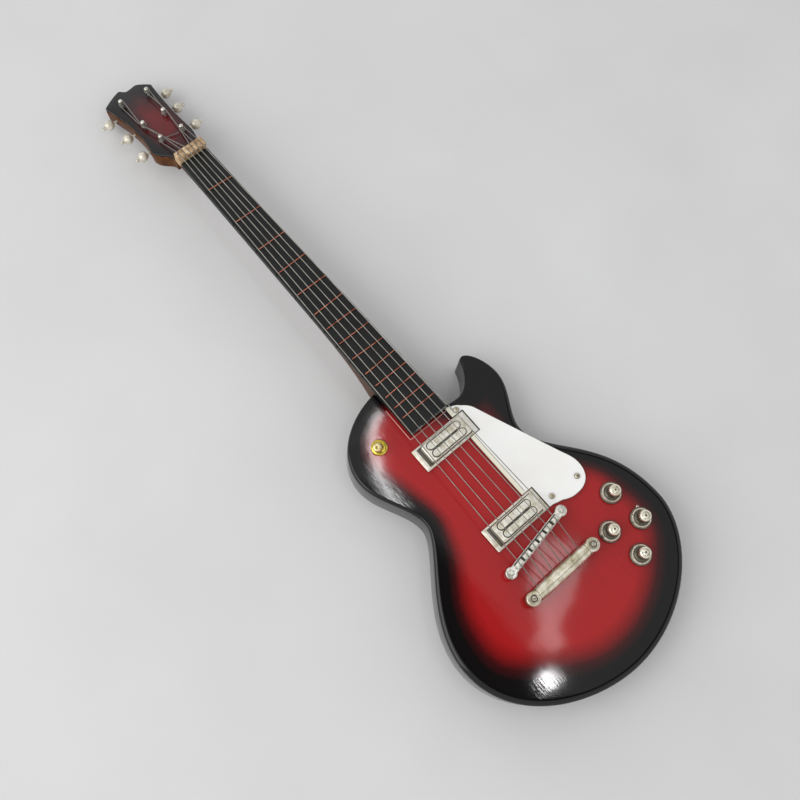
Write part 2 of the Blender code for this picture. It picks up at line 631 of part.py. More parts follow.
def make_board():
    points = [(-BOARD_HALF_END, BOARD_END_Y), (BOARD_HALF_END, BOARD_END_Y),
              (BOARD_HALF_NUT, NUT_Y - SEAT), (-BOARD_HALF_NUT, NUT_Y - SEAT)]
    add_object("fingerboard", bm_plate(points, BOARD_FLOOR, BOARD_TOP), BOARD_BLACK)

    distance = NUT_Y
    spacing = (NUT_Y - BOARD_END_Y - FRET_END_GAP) / sum(FRET_SPACING)
    for number, (share, turn) in enumerate(zip(FRET_SPACING, FRET_TURNS), start=1):
        distance -= share * spacing
        low = -board_half(distance) + FRET_BASS_MARGIN
        high = board_half(distance) - FRET_TREBLE_MARGIN
        strip = bm_box((low, -FRET_WIDTH / 2, 0), (high, FRET_WIDTH / 2, FRET_THICK))
        fret = add_object(f"fret_{number:02d}", strip, FRET_COPPER)
        fret.location = (0, distance, BOARD_TOP + SEAT)
        fret.rotation_euler.z = math.radians(turn)


def string_x(index, span):
    return span * (index / 5 - 0.5)


def make_nut():
    bm = bm_box((-NUT_HALF, NUT_Y, BOARD_FLOOR), (NUT_HALF, NUT_BACK_Y, NUT_TOP))
    nut = add_object("nut", bm, NUT_BONE)
    soften(nut, NUT_ROUND)
    depth = 2 * STRING_RADIUS + STRING_CLEAR
    half = STRING_RADIUS + STRING_CLEAR
    slots = []
    for index in range(6):
        x = string_x(index, STRING_NUT_SPAN)
        slots.append(bm_box((x - half, NUT_Y - MM, NUT_TOP - depth),
                            (x + half, NUT_BACK_Y + MM, NUT_TOP + MM)))
    boolean(nut, add_object("nut_slot_cutter", bm_group(slots), cutter=True))


def make_posts():
    profile = [(0, POST_HEIGHT), (POST_CAP_RADIUS * 0.7, POST_HEIGHT),
               (POST_CAP_RADIUS, POST_HEIGHT - 0.4 * POST_CAP_HEIGHT),
               (POST_CAP_RADIUS, POST_HEIGHT - 0.7 * POST_CAP_HEIGHT),
               (POST_RADIUS, POST_HEIGHT - POST_CAP_HEIGHT), (POST_RADIUS, -FACE_THICK - SEAT - POST_DEPTH),
               (0, -FACE_THICK - SEAT - POST_DEPTH)]
    for number, (x, along) in enumerate(POSTS, start=1):
        post = add_object(f"string_post_{number}", bm_turned(profile, 10), NICKEL)
        shade_round(post)
        post.matrix_world = HEAD_FRAME @ Matrix.Translation((x, along, 0))


def make_keys():
    end = KEY_RADIUS + 0.1 * MM
    nub = end + KEY_NUB_LENGTH
    for number, (side, out, along) in enumerate(KEYS, start=1):
        out = key_place(side, along, out)
        root = key_root(side, along) - KEY_PIN_DEPTH - out
        profile = [(0, nub), (KEY_NUB_RADIUS * 0.6, nub), (KEY_NUB_RADIUS, nub - 0.2 * MM),
                   (KEY_NUB_RADIUS, end), (KEY_PIN_RADIUS, end)]
        first = math.acos(KEY_PIN_RADIUS / KEY_RADIUS)
        for i in range(9):
            turn = first - 2 * first * i / 8
            profile.append((KEY_RADIUS * math.cos(turn), KEY_RADIUS * math.sin(turn)))
        profile += [(KEY_PIN_RADIUS, root), (0, root)]
        key = add_object(f"tuner_key_{number}", bm_turned(profile, 14), KEY_PEARL)
        shade_round(key)
        key.matrix_world = HEAD_FRAME @ key_axis(side, along) @ Matrix.Translation((0, 0, out))


def bridge_post_spots():
    dx, dy = BRIDGE_HALF_SPAN * math.cos(BRIDGE_SLANT), BRIDGE_HALF_SPAN * math.sin(BRIDGE_SLANT)
    return [(-dx, BRIDGE_Y - dy), (dx, BRIDGE_Y + dy)]


def stadium(half_length, radius, steps=6):
    """Slot-shaped outline along X with round ends."""
    points = []
    for end in (1, -1):
        for i in range(steps + 1):
            turn = math.pi * (i / steps - 0.5)
            points.append((end * (half_length + radius * math.cos(turn)), end * radius * math.sin(turn)))
    return points


def make_bridge():
    frame = Matrix.Translation((0, BRIDGE_Y, BODY_TOP)) @ Matrix.Rotation(BRIDGE_SLANT, 4, "Z")
    top = BRIDGE_FLOOR + BRIDGE_THICK
    bar = bm_box((-BRIDGE_HALF_SPAN, -BRIDGE_WIDTH / 2, BRIDGE_FLOOR),
                 (BRIDGE_HALF_SPAN, BRIDGE_WIDTH / 2, top))
    bridge = add_object("bridge", bar, NICKEL)
    soften(bridge, BRIDGE_ROUND)
    eyes = bm_group([bm_cylinder(BRIDGE_END_RADIUS, BRIDGE_FLOOR, top, side * BRIDGE_HALF_SPAN)
                     for side in (-1, 1)])
    eye_blank = add_object("bridge_eye_blank", eyes, cutter=True)
    boolean(bridge, eye_blank, "UNION")
    saddles = []
    for index in range(6):
        x = string_x(index, STRING_SADDLE_SPAN) / math.cos(BRIDGE_SLANT)
        steps = ((SADDLE_LENGTH / 2, top - BRIDGE_THICK / 3), (SADDLE_LENGTH / 2, top + SADDLE_SHOULDER),
                 (SADDLE_LENGTH / 6, top + SADDLE_HEIGHT))
        saddles.append(bm_loft([[(x - SADDLE_WIDTH / 2, y, level), (x + SADDLE_WIDTH / 2, y, level),
                                 (x + SADDLE_WIDTH / 2, -y, level), (x - SADDLE_WIDTH / 2, -y, level)]
                                for y, level in steps]))
    saddle_blank = add_object("saddle_blank", bm_group(saddles), cutter=True)
    boolean(bridge, saddle_blank, "UNION")
    bores = bm_group([bm_cylinder(BRIDGE_STEM_RADIUS + SEAT, BRIDGE_FLOOR - MM, top + MM,
                                  side * BRIDGE_HALF_SPAN) for side in (-1, 1)])
    bore_cutter = add_object("bridge_bore_cutter", bores, cutter=True)
    boolean(bridge, bore_cutter)
    for obj in (bridge, eye_blank, saddle_blank, bore_cutter):
        obj.matrix_world = frame

    for number, (x, y) in enumerate(bridge_post_spots(), start=1):
        post = add_object(f"bridge_post_{number}", bm_turned(bridge_post_profile(), 16), NICKEL)
        shade_round(post)
        post.location = (x, y, BODY_TOP)


def bridge_post_profile():
    stem, top = BRIDGE_STEM_RADIUS, BRIDGE_FLOOR + BRIDGE_THICK + BRIDGE_STEM_RISE
    return [(0, top), (stem * 0.7, top), (stem, top - 0.7 * BRIDGE_STEM_RISE),
            (stem, BRIDGE_FLOOR - SEAT), (BRIDGE_COLLAR_RADIUS, BRIDGE_FLOOR - SEAT),
            (BRIDGE_COLLAR_RADIUS, SEAT), (stem, SEAT), (stem, -STUD_DEPTH), (0, -STUD_DEPTH)]


def make_tailpiece():
    lug_top = TAIL_LUG_FLOOR + TAIL_LUG_HEIGHT
    profile = []
    inner = TAIL_HALF_SPAN - TAIL_LUG_RADIUS * 0.5
    for i in range(9):
        share = 1 - i / 4
        profile.append((TAIL_RADIUS - (TAIL_RADIUS - TAIL_END_RADIUS) * share ** 2, inner * share))
    barrel = bm_turned([(0, inner)] + profile + [(0, -inner)], 16)
    axis = Matrix.Translation((0, TAIL_Y, BODY_TOP + TAIL_AXIS_HEIGHT))
    bmesh.ops.transform(barrel, matrix=axis @ Matrix.Rotation(math.pi / 2, 4, "Y"), verts=barrel.verts)
    tail = add_object("tailpiece", barrel, NICKEL_CHAMPAGNE)
    shade_round(tail)
    base = BODY_TOP + TAIL_LUG_FLOOR
    lugs = [bm_cylinder(TAIL_LUG_RADIUS, base, base + TAIL_LUG_HEIGHT, side * TAIL_HALF_SPAN, TAIL_Y, 18)
            for side in (-1, 1)]
    boolean(tail, add_object("lug_blank", bm_group(lugs), cutter=True), "UNION")
    bores = [bm_cylinder(TAIL_STUD_RADIUS + SEAT, base - MM, base + TAIL_LUG_HEIGHT + MM,
                         side * TAIL_HALF_SPAN, TAIL_Y, 14) for side in (-1, 1)]
    along_y = Matrix.Rotation(math.pi / 2, 4, "X")
    cutters = bm_group(bores)
    for index in range(6):
        eyelet = bm_cylinder(STRING_RADIUS + STRING_CLEAR, -4 * TAIL_RADIUS, 0.0, sides=8)
        place = Matrix.Translation((string_x(index, STRING_TAIL_SPAN), 0, 0))
        merge_into(cutters, eyelet, axis @ place @ along_y)
    boolean(tail, add_object("tailpiece_cutter", cutters, cutter=True))

    head, under = TAIL_STUD_HEAD_RADIUS, lug_top + SEAT
    profile = [(0, under + TAIL_STUD_HEAD_HEIGHT), (head * 0.75, under + TAIL_STUD_HEAD_HEIGHT),
               (head, under + 0.5 * TAIL_STUD_HEAD_HEIGHT), (head, under),
               (TAIL_STUD_RADIUS, under), (TAIL_STUD_RADIUS, TAIL_LUG_FLOOR - SEAT),
               (head, TAIL_LUG_FLOOR - SEAT), (head, SEAT), (TAIL_STUD_RADIUS, SEAT),
               (TAIL_STUD_RADIUS, -STUD_DEPTH), (0, -STUD_DEPTH)]
    for number, side in enumerate((-1, 1), start=1):
        stud = add_object(f"tailpiece_stud_{number}", bm_turned(profile, 16), NICKEL)
        shade_round(stud)
        stud.location = (side * TAIL_HALF_SPAN, TAIL_Y, BODY_TOP)


def rounded_rect(half_x, half_y, radius, steps=3):
    points = []
    for sx, sy, first in ((1, -1, -90), (1, 1, 0), (-1, 1, 90), (-1, -1, 180)):
        for i in range(steps + 1):
            turn = math.radians(first + 90 * i / steps)
            points.append((sx * (half_x - radius) + radius * math.cos(turn),
                           sy * (half_y - radius) + radius * math.sin(turn)))
    return points


def bm_stepped(half_x, half_y, steps):
    """Solid of rounded rectangles, each step giving how far it is drawn in and its level."""
    rings = []
    for inset, level in steps:
        outline = rounded_rect(half_x - inset, half_y - inset, PICKUP_CORNER)
        rings.append([(x, y, level) for x, y in outline])
    return bm_loft(rings)


def make_pickups():
    half_x, half_y = PICKUP_LENGTH / 2, PICKUP_WIDTH / 2
    for name, y in (("neck_pickup", NECK_PICKUP_Y), ("bridge_pickup", BRIDGE_PICKUP_Y)):
        steps = ((0.0, SEAT), (0.0, PICKUP_FLANGE_HEIGHT), (PICKUP_FLANGE_STEP, PICKUP_FLANGE_HEIGHT + SEAT),
                 (PICKUP_FLANGE_STEP + PICKUP_FLANGE_TAPER, PICKUP_BASE_HEIGHT))
        base = add_object(f"{name}_base", bm_stepped(half_x, half_y, steps), NICKEL_CHAMPAGNE)
        window = bm_box((-half_x + PICKUP_RIM, -half_y + PICKUP_RIM_SIDE, -MM),
                        (half_x - PICKUP_RIM, half_y - PICKUP_RIM_SIDE, PICKUP_BASE_HEIGHT + MM))
        window_cutter = add_object(f"{name}_window_cutter", window, cutter=True)
        boolean(base, window_cutter)

        cover_x, cover_y = half_x - PICKUP_RIM - SEAT, half_y - PICKUP_RIM_SIDE - SEAT
        top, soft = PICKUP_COVER_TOP, PICKUP_COVER_ROUND
        steps = ((0.0, SEAT), (0.0, top - soft), (0.3 * soft, top - 0.3 * soft), (soft, top))
        cover = add_object(f"{name}_cover", bm_stepped(cover_x, cover_y, steps), NICKEL_CHAMPAGNE)
        pads = []
        for side in (-1, 1):
            outline = stadium(PICKUP_PAD_LENGTH / 2 - PICKUP_PAD_WIDTH / 2, PICKUP_PAD_WIDTH / 2)
            pad = bm_plate(outline, PICKUP_COVER_TOP - MM, PICKUP_COVER_TOP + PICKUP_PAD_RISE)
            bmesh.ops.translate(pad, vec=(0, side * PICKUP_PAD_SPREAD / 2, 0), verts=pad.verts)
            pads.append(pad)
        pad_blank = add_object(f"{name}_pad_blank", bm_group(pads), cutter=True)
        boolean(cover, pad_blank, "UNION")
        for obj in (base, window_cutter, cover, pad_blank):
            obj.location = (PICKUP_X, y, BODY_TOP)


def guard_outline():
    edge, x0 = PICKUP_EDGE_X, GUARD_STRING_X
    clear = PICKUP_WIDTH / 2 + SEAT
    tip, heel = NECK_PICKUP_Y + GUARD_TIP_RISE, BRIDGE_PICKUP_Y - GUARD_HEEL_DROP
    cx, cy = GUARD_CORNER_X, NECK_PICKUP_Y + GUARD_CORNER_RISE
    bx, by = GUARD_BOUT_X, BRIDGE_PICKUP_Y + GUARD_BOUT_RISE
    fx, fy = GUARD_FOOT_X, BRIDGE_PICKUP_Y - GUARD_FOOT_DROP
    points = [(edge, heel), (edge + 0.15 * (fx - edge), heel - 0.12 * (heel - fy))]
    points += bezier((edge + 0.44 * (fx - edge), heel - 0.44 * (heel - fy)),
                     (fx - 0.3 * (fx - edge), fy), (fx - 0.2 * (fx - edge), fy), (fx, fy), 3)
    points += bezier((fx, fy), (fx + 0.56 * (bx - fx), fy), (bx, by - 0.64 * (by - fy)), (bx, by), 6)
    points += bezier((bx, by), (bx, by + 3 * MM), (bx - 1.2 * MM, by + 4.4 * MM),
                     (bx - 2.6 * MM, by + 8 * MM), 4)
    points += [(bx - 2.6 * MM, by + 8 * MM)]
    points += bezier((cx, cy), (cx - 0.11 * (cx - x0), cy + 0.33 * (tip - cy)),
                     (cx - 0.26 * (cx - x0), cy + 0.47 * (tip - cy)),
                     (x0 + 0.29 * (cx - x0), cy + 0.85 * (tip - cy)), 4)
    points += [(x0 + 0.12 * (cx - x0), cy + 0.95 * (tip - cy)), (x0, cy + 0.9 * (tip - cy)),
               (x0, NECK_PICKUP_Y + clear), (edge, NECK_PICKUP_Y + clear),
               (edge, NECK_PICKUP_Y - clear), (x0, NECK_PICKUP_Y - clear),
               (x0, BRIDGE_PICKUP_Y + clear), (edge, BRIDGE_PICKUP_Y + clear)]
    return points


def make_guard():
    floor = BODY_TOP + SEAT
    top = floor + GUARD_THICK
    outline = [(x, y, 1.0) for x, y in guard_outline()]
    rings = [inset_ring(outline, 0.0, floor), inset_ring(outline, 0.0, top - GUARD_CHAMFER),
             inset_ring(outline, GUARD_CHAMFER, top)]
    guard = add_object("pickguard", bm_loft(rings), GUARD_WHITE)
    holes = bm_group([bm_cylinder(SCREW_SHANK_RADIUS + SEAT, floor - MM, floor + 2 * MM, x, y, 8)
                      for x, y in GUARD_SCREWS])
    boolean(guard, add_object("guard_drill_cutter", holes, cutter=True))

    top = GUARD_THICK + 2 * SEAT
    profile = [(0, top + SCREW_HEAD_HEIGHT), (SCREW_HEAD_RADIUS * 0.6, top + SCREW_HEAD_HEIGHT * 0.85),
               (SCREW_HEAD_RADIUS, top + SCREW_HEAD_HEIGHT * 0.3), (SCREW_HEAD_RADIUS, top),
               (SCREW_SHANK_RADIUS, top), (SCREW_SHANK_RADIUS, -SCREW_DEPTH * 0.7), (0, -SCREW_DEPTH)]
    for number, (x, y) in enumerate(GUARD_SCREWS, start=1):
        screw = add_object(f"pickguard_screw_{number}", bm_turned(profile, 10), NICKEL)
        shade_round(screw)
        screw.location = (x, y, BODY_TOP)


def make_controls():
    skirt, ring, cap = KNOB_SKIRT_RADIUS, KNOB_RING_RADIUS, KNOB_CAP_RADIUS
    neck, top = KNOB_NECK_RADIUS, KNOB_HEIGHT
    under = top - KNOB_CAP_HEIGHT
    profile = [(0, top - 0.1 * MM), (cap * 0.55, top), (cap * 0.86, top - 0.15 * KNOB_CAP_HEIGHT),
               (cap, top - 0.46 * KNOB_CAP_HEIGHT), (cap, under), (cap - 0.25 * MM, under - 0.3 * MM),
               (neck, under - 0.8 * MM), (neck, KNOB_RING_HEIGHT + 0.8 * MM),
               (neck + 0.3 * MM, KNOB_RING_HEIGHT),
               (ring - KNOB_RING_WIDTH, KNOB_RING_HEIGHT - 0.3 * MM),
               (ring - 0.7 * KNOB_RING_WIDTH, KNOB_RING_HEIGHT), (ring - 0.15 * MM, KNOB_RING_HEIGHT),
               (ring, KNOB_RING_HEIGHT - 0.25 * MM),
               (skirt - 0.1 * MM, KNOB_SKIRT_HEIGHT + 0.2 * MM), (skirt, KNOB_SKIRT_HEIGHT), (skirt, SEAT),
               (KNOB_PIN_RADIUS, SEAT), (KNOB_PIN_RADIUS, -KNOB_PIN_DEPTH), (0, -KNOB_PIN_DEPTH)]
    for number, (x, y) in enumerate(KNOB_SPOTS, start=1):
        knob = add_object(f"knob_{number}", bm_turned(profile, 20), NICKEL_ANTIQUE)
        shade_round(knob, math.radians(45))
        knob.location = (x, y, BODY_TOP)
        if number == INDEX_KNOB:
            pointer = bm_plate([(0.5 * skirt, -INDEX_WIDTH / 2), (0.97 * skirt, -INDEX_WIDTH / 2),
                                (skirt + INDEX_REACH, -0.2 * INDEX_WIDTH),
                                (skirt + INDEX_REACH, 0.2 * INDEX_WIDTH),
                                (0.97 * skirt, INDEX_WIDTH / 2), (0.5 * skirt, INDEX_WIDTH / 2)],
                               1.5 * SEAT, KNOB_SKIRT_HEIGHT - SEAT / 2)
            blank = add_object("index_blank", pointer, cutter=True)
            blank.location = knob.location
            blank.rotation_euler.z = INDEX_TURN
            boolean(knob, blank, "UNION")

    bore, high = WASHER_BORE_RADIUS, SEAT + WASHER_THICK
    washer = [(bore, high - 0.25 * WASHER_THICK), (bore + 0.3 * MM, high),
              (WASHER_RADIUS - 0.4 * MM, high - 0.17 * WASHER_THICK),
              (WASHER_RADIUS, SEAT + 0.33 * WASHER_THICK), (WASHER_RADIUS, SEAT), (bore, SEAT),
              (bore, high - 0.25 * WASHER_THICK)]
    ring_obj = add_object("switch_washer", bm_turned(washer, 20), BRASS)
    shade_round(ring_obj)
    ring_obj.location = (*SWITCH_SPOT, BODY_TOP)

    cap, neck, top = LEVER_CAP_RADIUS, LEVER_NECK_RADIUS, LEVER_LENGTH
    ball, under = bore - RUN, top - LEVER_CAP_HEIGHT
    profile = [(0, top - 0.35 * MM), (cap * 0.2, top - 0.3 * MM), (cap * 0.33, top),
               (cap * 0.75, top - 0.05 * MM), (cap, top - 0.32 * LEVER_CAP_HEIGHT),
               (cap, top - 0.86 * LEVER_CAP_HEIGHT),
               (cap - 0.3 * MM, under), (neck, under), (neck, ball * 0.8), (ball, 0),
               (ball * 0.8, -ball * 0.7), (0, -ball)]
    lever = add_object("switch_lever", bm_turned(profile, 16), BRASS)
    shade_round(lever)
    lever.location = (*SWITCH_SPOT, BODY_TOP - LEVER_PIVOT_DEPTH)
    lever.rotation_euler.y = -SWITCH_TILT


def winding(centre, hand, level, turns):
    """Points in the face's own frame, down a post from the side that hand gives."""
    reach = POST_RADIUS + STRING_RADIUS + STRING_CLEAR
    points = []
    steps = round(WIND_STEPS * turns)
    for i in range(steps + 1):
        turn = 2 * math.pi * turns * i / steps
        points.append(Vector((centre[0] + hand * reach * math.cos(turn), centre[1] + reach * math.sin(turn),
                              level - WIND_PITCH * turn / (2 * math.pi))))
    return points


def head_route(index):
    """Points in the face's own frame: past the nearer posts, then wound round the string's own post."""
    side = -1 if index < 3 else 1
    own = index if side < 0 else 5 - index
    posts = POSTS[:3] if side < 0 else POSTS[3:]
    level, turns = WIND_LEVELS[own], WIND_TURNS[own]
    reach = POST_RADIUS + STRING_RADIUS + STRING_CLEAR
    if own == 0:
        points = [Vector((posts[0][0] + side * reach, posts[0][1] - LOOSE_END, level))]
        points += winding(posts[0], side, level, turns)
        if side < 0:
            points.append(points[-1] + Vector((POSTS[3][0] - posts[0][0] - LOOSE_END, -2 * MM, MM / 4)))
        return points
    points = [Vector((posts[0][0] - side * reach, posts[0][1], level))]
    if own == 1:
        return points + winding(posts[1], side, level, turns)
    points.append(Vector((posts[1][0] + side * reach, posts[1][1], level)))
    points += winding(posts[2], -side, level, turns)
    points.append(Vector((posts[1][0] + side * reach, posts[1][1] + LOOSE_END, points[-1].z)))
    return points


def string_route(index):
    """Points from the tailpiece eyelet over the saddle and the nut to the end on the headstock."""
    slope = STRING_SADDLE_SPAN / 2 * math.tan(BRIDGE_SLANT)
    share = 2 * index / 5 - 1
    saddle = Vector((string_x(index, STRING_SADDLE_SPAN), BRIDGE_Y + slope * share,
                     SADDLE_TOP + STRING_RADIUS + STRING_CLEAR))
    tail = Vector((string_x(index, STRING_TAIL_SPAN), TAIL_Y + 0.6 * MM, BODY_TOP + TAIL_AXIS_HEIGHT))
    nut_floor = NUT_TOP - STRING_RADIUS
    x_nut = string_x(index, STRING_NUT_SPAN)
    points = [tail, tail + Vector((0, TAIL_RADIUS + 0.4 * MM, 0)),
              saddle - Vector((0, SADDLE_LENGTH * 0.45, 0.1 * MM)), saddle,
              Vector((x_nut, NUT_Y + 0.4 * MM, nut_floor)),
              Vector((x_nut, NUT_BACK_Y - 0.4 * MM, nut_floor - 0.1 * MM))]
    return points + [HEAD_FRAME @ place for place in head_route(index)]


def make_strings():
    """Six wires; the printed gap is the least one between two turns of a winding."""
    gap = WIND_PITCH
    wound = winding((0.0, 0.0), 1, 0.0, max(WIND_TURNS))
    for i, place in enumerate(wound):
        for other in wound[i + WIND_STEPS * 2 // 3:]:
            gap = min(gap, (place - other).length - 2 * STRING_RADIUS)
    for index in range(6):
        tube(f"string_{index + 1}", string_route(index), STRING_RADIUS, STRING_STEEL)
    print(f"least gap of a winding to itself: {gap / MM:.2f} mm")


clear_scene()
GUITAR = new_collection("mini_guitar")
CUTTERS = new_collection("cutters")
BODY_RED = make_material("red_burst_lacquer", "8E1A1C", 0.18)
NECK_AMBER = make_material("amber_lacquered_wood", "8A5424", 0.35)
BOARD_BLACK = make_material("black_stained_wood", "1A1918", 0.5)
NUT_BONE = make_material("tan_bone", "B79A72", 0.55)
FRET_COPPER = make_material("copper_strip", "B5654A", 0.4, 1.0)
STRING_STEEL = make_material("string_steel", "B9B8B4", 0.3, 1.0)
NICKEL = make_material("bright_nickel", "C9C6BC", 0.28, 1.0)
NICKEL_CHAMPAGNE = make_material("champagne_nickel", "C7C0AC", 0.32, 1.0)
NICKEL_ANTIQUE = make_material("antique_nickel", "ABA491", 0.34, 1.0)
BRASS = make_material("yellow_brass", "D8C368", 0.25, 1.0)
KEY_PEARL = make_material("pearl_bead", "D6CFBE", 0.3)
GUARD_WHITE = make_material("white_plastic", "EDEDEA", 0.3)

make_body()
make_neck()
make_head_face()
make_board()
make_nut()
make_posts()
make_keys()
make_bridge()
make_tailpiece()
make_pickups()
make_guard()
make_controls()
make_strings()

for item in list(GUITAR.objects) + list(CUTTERS.objects):
    item.location.y -= OVERALL_LENGTH / 2
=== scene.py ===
import math

import bmesh
import bpy
import numpy as np
from mathutils import Matrix, Vector
from mathutils.geometry import interpolate_bezier


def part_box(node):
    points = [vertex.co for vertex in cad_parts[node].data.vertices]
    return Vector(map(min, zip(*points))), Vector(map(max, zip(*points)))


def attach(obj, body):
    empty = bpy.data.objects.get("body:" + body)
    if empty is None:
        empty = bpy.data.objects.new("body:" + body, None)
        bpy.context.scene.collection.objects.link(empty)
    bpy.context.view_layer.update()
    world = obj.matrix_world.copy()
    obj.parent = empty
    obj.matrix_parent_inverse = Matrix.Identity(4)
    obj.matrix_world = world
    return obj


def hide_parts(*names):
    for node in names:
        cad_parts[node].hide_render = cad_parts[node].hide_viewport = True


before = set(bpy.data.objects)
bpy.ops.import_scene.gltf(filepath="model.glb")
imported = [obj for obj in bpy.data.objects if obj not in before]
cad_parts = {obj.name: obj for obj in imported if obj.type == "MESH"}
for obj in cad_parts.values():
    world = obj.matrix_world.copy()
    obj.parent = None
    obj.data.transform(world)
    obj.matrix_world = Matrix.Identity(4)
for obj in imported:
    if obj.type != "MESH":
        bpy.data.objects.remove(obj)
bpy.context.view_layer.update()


# Camera
# It looks down on the guitar from beside the bass edge of the body, so that the headstock
# points to the upper left of the picture.
MM = 0.001
eye = Vector((-73.1, -73.67, 280.8)) * MM
aim = Vector((-1.6, -21.86, 12.5)) * MM
back = (eye - aim).normalized()
up = back.cross(Vector((0.75461, -0.65185, 0.07523))).normalized()
camera = bpy.data.objects.new("camera", bpy.data.cameras.new("camera"))
camera.data.lens = 40.5
camera.data.sensor_width = 36.0
camera.data.clip_start = 0.01
camera.matrix_world = Matrix.Translation(eye) @ Matrix((up.cross(back), up, back)).transposed().to_4x4()
bpy.context.scene.collection.objects.link(camera)
bpy.context.scene.camera = camera
bpy.context.scene.view_settings.view_transform = "Standard"


# Floor and light
# A plain pale floor and an even pale room with a darker ceiling, so that the lacquer keeps its
# depth. Soft boxes high above it lay a broad sheen, a glow and bright streaks on the top, and a
# large one at the side lights the edges.
def linear(hex_colour):
    """Linear RGBA of an sRGB hex colour."""
    srgb = [int(hex_colour[i:i + 2], 16) / 255 for i in (0, 2, 4)]
    return (*[c / 12.92 if c <= 0.04045 else ((c + 0.055) / 1.055) ** 2.4 for c in srgb], 1.0)


def feed(node, inputs):
    """Gives sockets their values or links; a node stands for its first output."""
    for key, value in dict(inputs).items():
        if isinstance(value, bpy.types.Node):
            value = value.outputs[0]
        if isinstance(value, bpy.types.NodeSocket):
            node.id_data.links.new(value, node.inputs[key])
        else:
            node.inputs[key].default_value = value


def add(tree, kind, inputs=(), stops=(), **settings):
    """Adds a node with its properties, its sockets and its ramp's stops, the two ends first."""
    node = tree.nodes.new("ShaderNode" + kind)
    for key, value in settings.items():
        setattr(node, key, value)
    feed(node, inputs)
    for i, (place, colour) in enumerate(stops):
        element = node.color_ramp.elements[i] if i < 2 else node.color_ramp.elements.new(place)
        element.position, element.color = place, linear(colour)
    return node


def new_material(name, **sockets):
    """Material with its even sockets set, its tree and shader, and the piece's own coordinates."""
    material = bpy.data.materials.new(name)
    material.use_nodes = True
    tree = material.node_tree
    shader = tree.nodes["Principled BSDF"]
    feed(shader, {key.replace("_", " "): value for key, value in sockets.items()})
    return material, tree, shader, add(tree, "TexCoord").outputs["Object"]


def new_object(name, bm):
    mesh = bpy.data.meshes.new(name)
    bm.to_mesh(mesh)
    bm.free()
    obj = bpy.data.objects.new(name, mesh)
    bpy.context.scene.collection.objects.link(obj)
    return obj


bm = bmesh.new()
bmesh.ops.create_grid(bm, x_segments=1, y_segments=1, size=3.0)
floor = new_object("floor", bm)
material, tree, shader, coords = new_material("painted_board", Roughness=0.75)
mottle = add(tree, "TexNoise", {"Vector": coords, "Scale": 1 / (60 * MM), "Detail": 4.0})
tint = add(tree, "ValToRGB", {"Fac": mottle}, stops=((0.3, "D3D3D2"), (0.7, "D9D9D8")))
feed(shader, {"Base Color": tint})
floor.data.materials.append(material)

CEILING = Vector((0.27, -0.06, 1.0)).normalized()
world = bpy.data.worlds.new("pale_room")
world.use_nodes = True
tree = world.node_tree
toward = add(tree, "TexCoord").outputs["Generated"]
above = add(tree, "VectorMath", {0: toward, 1: CEILING}, operation="DOT_PRODUCT")
room = add(tree, "ValToRGB", {"Fac": above.outputs["Value"]},
           stops=((0.84, "F2F2F4"), (0.925, "303032"), (0.88, "A8A8AA")))
feed(tree.nodes["Background"], {"Color": room, "Strength": 0.95})
bpy.context.scene.world = world


def rotation(degrees, axis):
    return Matrix.Rotation(math.radians(degrees), 4, axis)


def soft_box(name, place, width, length, watts, turn=0.0, target=None):
    """Rectangular lamp that points straight down or at a target; turn rolls it on its own axis."""
    data = bpy.data.lights.new(name, "AREA")
    data.shape, data.size, data.size_y, data.energy = "RECTANGLE", width * MM, length * MM, watts
    lamp = bpy.data.objects.new(name, data)
    backward = Vector(place) - Vector(target or (*place[:2], 0))
    lamp.matrix_world = (Matrix.Translation(Vector(place) * MM)
                         @ backward.to_track_quat("Z", "Y").to_matrix().to_4x4() @ rotation(turn, "Z"))
    bpy.context.scene.collection.objects.link(lamp)


soft_box("sheen_box", (205, -80, 600), 230, 400, 0.18)
soft_box("glow_left_box", (124, -154, 598), 16, 72, 0.018, turn=-28)
soft_box("glow_right_box", (141, -156, 598), 16, 92, 0.019, turn=-66)
soft_box("glow_far_box", (156, -131, 598), 40, 60, 0.036, turn=-47)
soft_box("streak_low_box", (84, 25, 598), 6, 46, 0.03, turn=-10)
soft_box("streak_mid_box", (98, 62, 598), 7, 36, 0.024, turn=-33)
soft_box("streak_high_box", (118, 87, 598), 7, 28, 0.014, turn=-56)
soft_box("edge_box", (72, 86, 598), 34, 130, 0.011, turn=-24)
soft_box("spot_box", (86, -201, 600), 15, 16, 0.05)
soft_box("side_box", (-520, 160, 420), 600, 600, 2.3, target=(0, 0, 0))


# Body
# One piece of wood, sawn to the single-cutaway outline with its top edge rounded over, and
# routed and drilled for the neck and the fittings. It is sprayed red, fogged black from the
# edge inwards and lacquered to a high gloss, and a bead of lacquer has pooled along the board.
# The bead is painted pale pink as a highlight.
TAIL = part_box("body")[0].y
BODY_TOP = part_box("body")[1].z
TOP_LEVEL = BODY_TOP / MM
HEEL_HALF = 6.756
